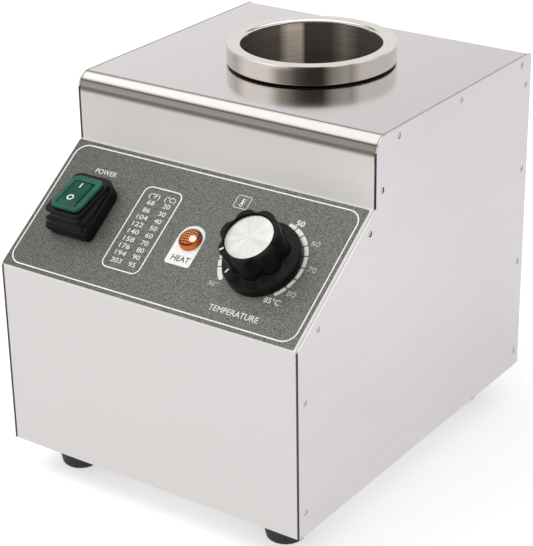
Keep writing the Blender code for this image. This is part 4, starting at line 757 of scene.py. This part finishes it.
k = knob
skirtEdge = arcPoints((k["skirt"] - 0.5, k["base"] + 0.5), 0.5, -90, -10, 4)
rimEdge = arcPoints((k["rim"] - 0.05, k["rimHigh"] - 1.1), 1.1, 5, 82, 6)
footBend = arcPoints((k["grip"] + 0.6, k["foot"] + 0.6), 0.6, 262, 182, 5)
topBend = arcPoints((k["grip"] - 0.95, k["top"] - 0.7), 0.7, 0, 90, 6)
rings = [knobRing(0.4, k["base"]), knobRing(k["hub"], k["base"]),
         knobRing(k["hub"], k["cavityHigh"]), knobRing(k["cavity"], k["cavityHigh"]),
         knobRing(k["cavity"], k["base"])]
rings += [knobRing(r, h) for r, h in skirtEdge]
rings += [knobRing(r, h) for r, h in rimEdge]
rings += [knobRing(r, h, k["flute"] * 0.98) for r, h in footBend]
rings += [knobRing(r, h, k["flute"]) for r, h in topBend]
rings += [knobRing(k["recess"] + 0.3, k["top"]), knobRing(k["recess"], k["top"] - 0.3),
          knobRing(k["recess"], k["top"] - k["depth"]), knobRing(0.4, k["top"] - k["depth"])]
knobPiece = ringedSurface("knob_grip", onKnob(rings), knobPlastic, "knob",
                          sharp=40, even=True)
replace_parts(knobPiece, "knob_body")

capRadius, capLow, capHigh = 12.3, 20.2, 21.3
capRings = [(0.3, capHigh), (4, capHigh), (8, capHigh), (12.0, capHigh), (12.2, capHigh - 0.06),
            (capRadius, capHigh - 0.2), (capRadius, capLow), (0.3, capLow)]


def capMaterial():
    # spun aluminium: brightness runs in soft wedges round the middle of the cap
    material, tree, shader = startMaterial("spun_aluminium", {
        "Metallic": 1.0, "Anisotropic": 0.7, "Roughness": 0.32})
    place = addNode(tree, "TexCoord").outputs["Object"]
    middle = onSlope(knob["place"][0] / 1000, knob["place"][1] / 1000, 0.0).tolist()
    centred = addNode(tree, "Mapping", {"Vector": place, "Location": [-c for c in middle]})
    level = addNode(tree, "Mapping", {"Vector": centred.outputs["Vector"],
                                      "Rotation": (-slopeAngle, 0, 0)})
    parts = addNode(tree, "SeparateXYZ", {"Vector": level.outputs["Vector"]})
    angle = addNode(tree, "Math", operation="ARCTAN2")
    tree.links.new(parts.outputs["Y"], angle.inputs[0])
    tree.links.new(parts.outputs["X"], angle.inputs[1])
    wedge = addNode(tree, "TexNoise", {"W": angle.outputs[0], "Scale": 1.7, "Detail": 3},
                    noise_dimensions="1D")
    flat = addNode(tree, "CombineXYZ", {"X": parts.outputs["X"], "Y": parts.outputs["Y"]})
    radius = addNode(tree, "VectorMath", {0: flat.outputs["Vector"]}, operation="LENGTH")
    lines = addNode(tree, "TexNoise", {"W": radius.outputs["Value"], "Scale": 3200,
                                       "Detail": 2}, noise_dimensions="1D")
    tone = ramp(tree, wedge.outputs["Fac"], [(0.36, (0.61, 0.61, 0.61)), (0.60, (0.71, 0.71, 0.705))])
    tree.links.new(tone, shader.inputs["Base Color"])
    relief = addNode(tree, "Bump", {"Height": lines.outputs["Fac"], "Strength": 0.1,
                                    "Distance": 0.00003})
    tree.links.new(relief.outputs["Normal"], shader.inputs["Normal"])
    return material


cap = ringedSurface("knob_cap_spun", onKnob(turnedRings(capRings, 120, (0, 0))), capMaterial(),
                    "knob")
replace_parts(cap, "knob_cap")

pointer = {"angle": radians(-133), "half": 0.42,
           "runs": [((12.7, 22.3), (14.9, 22.3)), ((16.3, 6.95), (18.6, 5.85))]}


def pointerLine(run):
    # a strip with a flat section between two points of the knob's side view
    (r0, h0), (r1, h1) = run
    out = np.array([cos(pointer["angle"]), sin(pointer["angle"])])
    side = np.array([-out[1], out[0]]) * pointer["half"]
    corners = []
    for r, h in ((r0, h0), (r1, h1)):
        for s, lift in ((-1, -0.15), (1, -0.15), (1, 0.04), (-1, 0.04)):
            corners.append([*(out * r + side * s), h + lift])
    faces = [(0, 1, 2, 3), (4, 5, 6, 7)] + [(i, (i + 1) % 4, (i + 1) % 4 + 4, i + 4)
                                           for i in range(4)]
    return onKnob(corners), faces


points, faces = [], []
for i, run in enumerate(pointer["runs"]):
    p, f = pointerLine(run)
    points.append(p)
    faces += [tuple(c + 8 * i for c in face) for face in f]
addMesh("knob_pointer", np.vstack(points), faces, whiteInk, "knob")
print("knob ready")

# Switch: a rubber boot that folds between the panel and the rocker, and the green rocker

switch = {"place": (-59.148, 38.998), "pivot": 4.5, "tilt": radians(-14.5), "shift": 1.5}


def onSwitch(points, share=1.0):
    # points over the pin, tilted about it by a share of the rocker's rest tilt, in millimetres
    points = np.asarray(points, float)
    a = switch["tilt"] * share
    x = points[..., 0]
    y = points[..., 1] + switch["shift"] * (1 - share)
    z = points[..., 2]
    y, z = y * np.cos(a) - z * np.sin(a), y * np.sin(a) + z * np.cos(a)
    u, v = switch["place"]
    return onSlope((x + u) / 1000, (y + v) / 1000, (z + switch["pivot"]) / 1000)


def bootRing(halfWidth, halfLength, corner, centre, reach, share):
    loop = roundedLoop(halfWidth, halfLength, corner, 14, centre)
    return onSwitch(np.c_[loop, np.full(len(loop), reach)], share)


# Half width, half length, corners and middle of the boot's foot, of its shoulder and of its lip
boot = {"foot": (13.7, 16.4, (7.5, 6.0, 4.0, 2.4), (-1.3, -0.2)),
        "shoulder": (13.0, 16.1, (6.5, 5.0, 2.5, 2.2), (-1.9, 0.0)), "shoulderHigh": 2.5,
        "lip": (11.5, 14.2, (3.5, 4.0, 3.0, 3.6), (-0.8, 0.1)), "lipLow": 7.6, "lipHigh": 9.2,
        "hole": (7.9, 10.3, 0.8, (-0.45, 0.2)), "fold": 1.5, "wall": 1.1}


def boundRing(name, inset, reach, share):
    w, l, corner, centre = boot[name]
    corner = np.maximum(np.array(corner) - inset * 0.5, 0.6)
    return bootRing(w - inset, l - inset, corner, centre, reach, share)


def foldRing(share, inset):
    # between shoulder and lip: sizes, corners and middle go over by the same share
    low, high = ([np.broadcast_to(np.array(v, float), n) for v, n in zip(boot[e], (1, 1, 4, 2))]
                 for e in ("shoulder", "lip"))
    w, l, corner, centre = (a + (b - a) * share for a, b in zip(low, high))
    reach = boot["shoulderHigh"] + (boot["lipLow"] - boot["shoulderHigh"]) * share
    corner = np.maximum(corner - inset * 0.4, 0.6)
    return bootRing(w[0] - inset, l[0] - inset, corner, centre, reach, share)


rings = [boundRing("foot", 0.5, -3.85, 0), boundRing("foot", 0.1, -3.6, 0),
         boundRing("foot", 0.0, -3.0, 0), foldRing(-0.25, -0.45), foldRing(-0.06, -0.12),
         foldRing(0.0, 0.05), foldRing(0.02, 0.35)]
rings += [foldRing(s, e * boot["fold"]) for s, e in
          ((0.09, 0.75), (0.17, 1.0), (0.27, 1.0), (0.36, 0.7), (0.44, 0.08), (0.47, 0.0),
           (0.50, 0.08), (0.58, 0.7), (0.68, 1.0), (0.82, 1.0), (0.92, 0.85))]
rings += [boundRing("lip", 0.7, 7.65, 1), boundRing("lip", 0.15, 7.75, 1),
          boundRing("lip", 0, 8.1, 1), boundRing("lip", 0, 8.9, 1),
          boundRing("lip", 0.2, 9.15, 1), boundRing("lip", 0.6, 9.2, 1),
          bootRing(*boot["hole"], 9.2, 1), bootRing(*boot["hole"], 8.0, 1)]
inside = boot["wall"]
rings += [foldRing(0.74, boot["fold"] + inside), foldRing(0.48, inside),
          foldRing(0.24, boot["fold"] + inside), foldRing(0.0, inside),
          boundRing("foot", inside + 0.3, -3.85, 0)]
bootPiece = ringedSurface("rubber_boot", rings, blackRubber, None, loop=True,
                          sharp=60)
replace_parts(bootPiece, "switch_boot")
# the border between still and moving rubber lies halfway between the panel and the lip
lean = -switch["tilt"] / 2
u, v = np.array(switch["place"]) / 1000
still, moving = (onSlope(u, v + r * sin(lean), r * cos(lean)).tolist() for r in (0.0092, 0.0102))
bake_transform(bootPiece)

rocker = {"half": (9.5, 12.0), "corner": (3.4, 4.2, 4.2, 3.6), "centre": (-0.45, 0.2),
          "low": 9.45, "high": 11.3, "window": (6.5, 8.9), "middle": (-0.65, -0.55)}


def rockerRing(inset, height):
    (w, l), corner = rocker["half"], np.array(rocker["corner"]) - inset * 0.7
    loop = roundedLoop(w - inset, l - inset, corner, 10, rocker["centre"])
    return onSwitch(np.c_[loop, np.full(len(loop), height)])


def windowRing(halfWidth, halfLength, corner, centre, height):
    loop = roundedLoop(halfWidth, halfLength, corner, 10, centre)
    return onSwitch(np.c_[loop, np.full(len(loop), height)])


(ww, wl), wm = rocker["window"], rocker["middle"]
rings = [windowRing(7.6, 9.9, 0.8, rocker["centre"], 9.5),
         rockerRing(0.5, rocker["low"]), rockerRing(0.12, rocker["low"] + 0.1),
         rockerRing(0.0, rocker["low"] + 0.45), rockerRing(0.03, rocker["high"] - 0.6),
         rockerRing(0.2, rocker["high"] - 0.22), rockerRing(0.55, rocker["high"] - 0.04),
         rockerRing(1.0, rocker["high"]), windowRing(ww + 0.25, wl + 0.25, 1.0, wm, 11.3),
         windowRing(ww, wl, 0.8, wm, 11.15), windowRing(ww - 0.1, wl - 0.1, 0.7, wm, 10.5)]
rockerPiece = ringedSurface("green_rocker", rings, greenPlastic, "rocker",
                            sharp=40, even=True)
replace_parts(rockerPiece, "switch_rocker")
# painted shade: the groove round the pad is lined with black rubber for its shade
rings = [windowRing(6.35, 8.75, 0.7, wm, 10.35), windowRing(6.35, 8.75, 0.7, wm, 10.62),
         windowRing(5.9, 8.4, 0.6, (-0.9, -0.55), 10.66),
         windowRing(5.9, 8.4, 0.6, (-0.9, -0.55), 10.3)]
ringedSurface("window_groove_painted_shade", rings, blackRubber, "rocker", sharp=50)
pad = {"half": (5.35, 6.9), "middle": (-1.2, 0.75), "high": 11.36}
rings = [windowRing(5.75, 8.4, 0.5, (-1.05, -0.55), 10.45),
         windowRing(5.75, 8.4, 0.5, (-1.05, -0.55), 10.72),
         windowRing(*pad["half"], 0.5, pad["middle"], pad["high"] - 0.04),
         windowRing(pad["half"][0] - 0.25, pad["half"][1] - 0.25, 0.4, pad["middle"], pad["high"])]
# the pad's near facet keeps a lighter, greyer green as painted light, and its top is painted darker
upSlope = np.array([0, cos(slopeAngle), sin(slopeAngle)])
facet = float(onSwitch((0, pad["middle"][1] - pad["half"][1], pad["high"])) @ upSlope)
padGreen = grained("pad_green", (0.022, 0.085, 0.066), (0.030, 0.105, 0.082), 500,
                   rough=(0.15, 0.25), bump=0.03, wear=0.3,
                   paintedShade=(upSlope.tolist(), facet - 0.0001, facet + 0.0002, (0.12, 0.80, 0.62)),
                   **{"Specular IOR Level": 0.12})
ringedSurface("rocker_pad", rings, padGreen, "rocker", sharp=25)


def onPad(x, y, z):
    return onSwitch(np.stack([x, y, z], -1) * 1000)


marks = {"mark_on": [roundedLoop(0.36, 1.65, 0.15, 2, (-1.2, 5.3))],
         "mark_off": [arcPoints((-1.2, -3.9), r, 0, 350, 35) for r in (1.95, 1.25)]}
for name, loops in marks.items():
    mark = loopShape(*loops, low=0.01131, thick=0.00012, lay=onPad)
    printed(name, [mark], whiteInk, "rocker")
print("switch ready")

# CAD nodes that stay as they are get their finish

finishes = {
    screwSteel: [n for n in frame["nodes"] if "screw" in n or "nut" in n]
    + ["thermostat_shaft", "cutout_clip", "bulb_clip"],
    blackRubber: ["collar_gasket"], heaterMetal: ["heater_band"], fibre: ["insulation_sleeve"],
    copper: ["sensor_bulb"], brass: ["earth_stud"],
    blackPlastic: ["thermal_cutout", "switch_body", "gland_locknut", "lamp_nut"],
    greyPlastic: ["thermostat_body", "lamp_body", "terminal_block"]}
wireColours = {"live_lead": (0.20, 0.08, 0.03), "switch_lead": (0.20, 0.08, 0.03),
               "cutout_lead": (0.70, 0.69, 0.65), "heater_lead": (0.70, 0.69, 0.65),
               "neutral_lead": (0.03, 0.09, 0.35), "earth_lead": (0.16, 0.38, 0.05),
               "lamp_lead_1": (0.70, 0.69, 0.65), "lamp_lead_2": (0.70, 0.69, 0.65)}
for wire, tone in wireColours.items():
    dull = tuple(c * 0.8 for c in tone)
    finishes[grained(wire + "_cover", dull, tone, 600, rough=(0.35, 0.5), bump=0.05)] = [wire]
for material, names in finishes.items():
    for name in names:
        mesh = frame["nodes"][name].data
        mesh.materials.clear()
        mesh.materials.append(material)
print("CAD nodes finished")

# Floor, light and world

floor = bpy.data.meshes.new("floor")
floor.from_pydata([(-8, -8, 0), (8, -8, 0), (8, 8, 0), (-8, 8, 0)], [], [(0, 1, 2, 3)])
floorPiece = bpy.data.objects.new("floor", floor)
bpy.context.scene.collection.objects.link(floorPiece)
floorMaterial = bpy.data.materials.new("pale_floor")
floorMaterial.use_nodes = True
tree = floorMaterial.node_tree
tree.nodes.remove(tree.nodes["Principled BSDF"])
rays = addNode(tree, "LightPath")
seen = addNode(tree, "Math", {0: rays.outputs["Is Camera Ray"], 1: rays.outputs["Is Glossy Ray"]},
               operation="MAXIMUM")
seen = addNode(tree, "Math", {0: seen.outputs[0], 1: rays.outputs["Is Transmission Ray"]},
               operation="MAXIMUM")
lift = addNode(tree, "Math", {0: seen.outputs[0], 1: 0.55}, operation="MULTIPLY")
glow = addNode(tree, "Emission", {"Strength": lift.outputs[0], "Color": (1, 1, 1, 1)})
pale = ramp(tree, seen.outputs[0], [(0.0, (0.82, 0.82, 0.82)), (1.0, (0.60, 0.60, 0.60))])
matte = addNode(tree, "BsdfDiffuse", {"Color": pale})
both = addNode(tree, "AddShader", {0: glow.outputs[0], 1: matte.outputs[0]})
tree.links.new(both.outputs[0], tree.nodes["Material Output"].inputs["Surface"])
floor.materials.append(floorMaterial)

world = bpy.data.worlds.new("studio")
bpy.context.scene.world = world
world.use_nodes = True
tree = world.node_tree
background = tree.nodes["Background"]
direction = addNode(tree, "TexCoord").outputs["Generated"]
parts = addNode(tree, "SeparateXYZ", {"Vector": direction})
height = parts.outputs["Z"]
# what polished steel sees: a bright ceiling, a dimmer wall behind, a dark room in front
wall = ramp(tree, height, [(0.0, (0.92, 0.90, 0.88)), (0.47, (0.90, 0.88, 0.86)),
                           (0.51, (0.90, 0.88, 0.85)), (0.54, (0.22, 0.20, 0.18)),
                           (0.62, (0.24, 0.22, 0.20)), (0.67, (0.70, 0.67, 0.62)),
                           (0.73, (1.40, 1.37, 1.31)), (1.0, (1.5, 1.48, 1.44))])
room = ramp(tree, height, [(0.0, (0.28, 0.25, 0.22)), (0.25, (0.38, 0.35, 0.31)),
                           (0.45, (0.45, 0.42, 0.38)), (0.62, (0.50, 0.46, 0.41)),
                           (0.70, (0.62, 0.58, 0.52)), (0.76, (1.45, 1.42, 1.36)),
                           (1.0, (1.5, 1.48, 1.44))])
facing = addNode(tree, "VectorMath", {0: direction, 1: (0.45, -0.89, 0)},
                 operation="DOT_PRODUCT")
share = addNode(tree, "MapRange", {"Value": facing.outputs["Value"], "From Min": 0.5,
                                   "From Max": 0.8}, interpolation_type="SMOOTHSTEP")
mirrored = addNode(tree, "Mix", data_type="RGBA")
tree.links.new(share.outputs["Result"], mirrored.inputs["Factor"])
tree.links.new(wall, mirrored.inputs["A"])
tree.links.new(room, mirrored.inputs["B"])
rays = addNode(tree, "LightPath")
soft = addNode(tree, "Mix", data_type="RGBA")
tree.links.new(rays.outputs["Is Glossy Ray"], soft.inputs["Factor"])
soft.inputs["A"].default_value = (0.75, 0.75, 0.75, 1)
tree.links.new(mirrored.outputs["Result"], soft.inputs["B"])
seen = addNode(tree, "Math", {0: rays.outputs["Is Camera Ray"],
                              1: rays.outputs["Is Transmission Ray"]}, operation="MAXIMUM")
whole = addNode(tree, "Mix", data_type="RGBA")
tree.links.new(seen.outputs[0], whole.inputs["Factor"])
tree.links.new(soft.outputs["Result"], whole.inputs["A"])
whole.inputs["B"].default_value = (1, 1, 1, 1)
tree.links.new(whole.outputs["Result"], background.inputs["Color"])


def softLamp(name, place, aim, size, power):
    light = bpy.data.lights.new(name, "AREA")
    light.size = size
    light.energy = power
    obj = bpy.data.objects.new(name, light)
    bpy.context.scene.collection.objects.link(obj)
    back = (np.array(place) - np.array(aim)) / np.linalg.norm(np.array(place) - np.array(aim))
    right = np.cross((0, 0, 1), back)
    right /= np.linalg.norm(right)
    up = np.cross(back, right)
    turn = np.eye(4)
    turn[:3, 0], turn[:3, 1], turn[:3, 2], turn[:3, 3] = right, up, back, place
    obj.matrix_world = Matrix(turn.tolist())
    return obj


softLamp("key", (-0.7, -0.5, 1.3), (0, 0, 0.1), 0.9, 9).visible_glossy = False
softLamp("fill", (0.9, -1.1, 0.8), (0, 0, 0.1), 1.2, 4).visible_glossy = False

# Camera at the photo's view

camera = bpy.data.objects.new("camera", bpy.data.cameras.new("camera"))
bpy.context.scene.collection.objects.link(camera)
camera.data.lens = 120.39
camera.data.sensor_width = 36
camera.data.clip_end = 50
turn = np.eye(4)
turn[:3, 0] = (0.8200311, 0.5721197, -0.0150994)
turn[:3, 1] = (-0.2282455, 0.3511153, 0.9080870)
turn[:3, 2] = (0.5248361, -0.7412132, 0.4185092)
turn[:3, 3] = (0.50338, -0.72566, 0.49684)
camera.matrix_world = Matrix(turn.tolist())
bpy.context.scene.camera = camera
bpy.context.scene.view_settings.view_transform = "Standard"
print("light and camera ready")
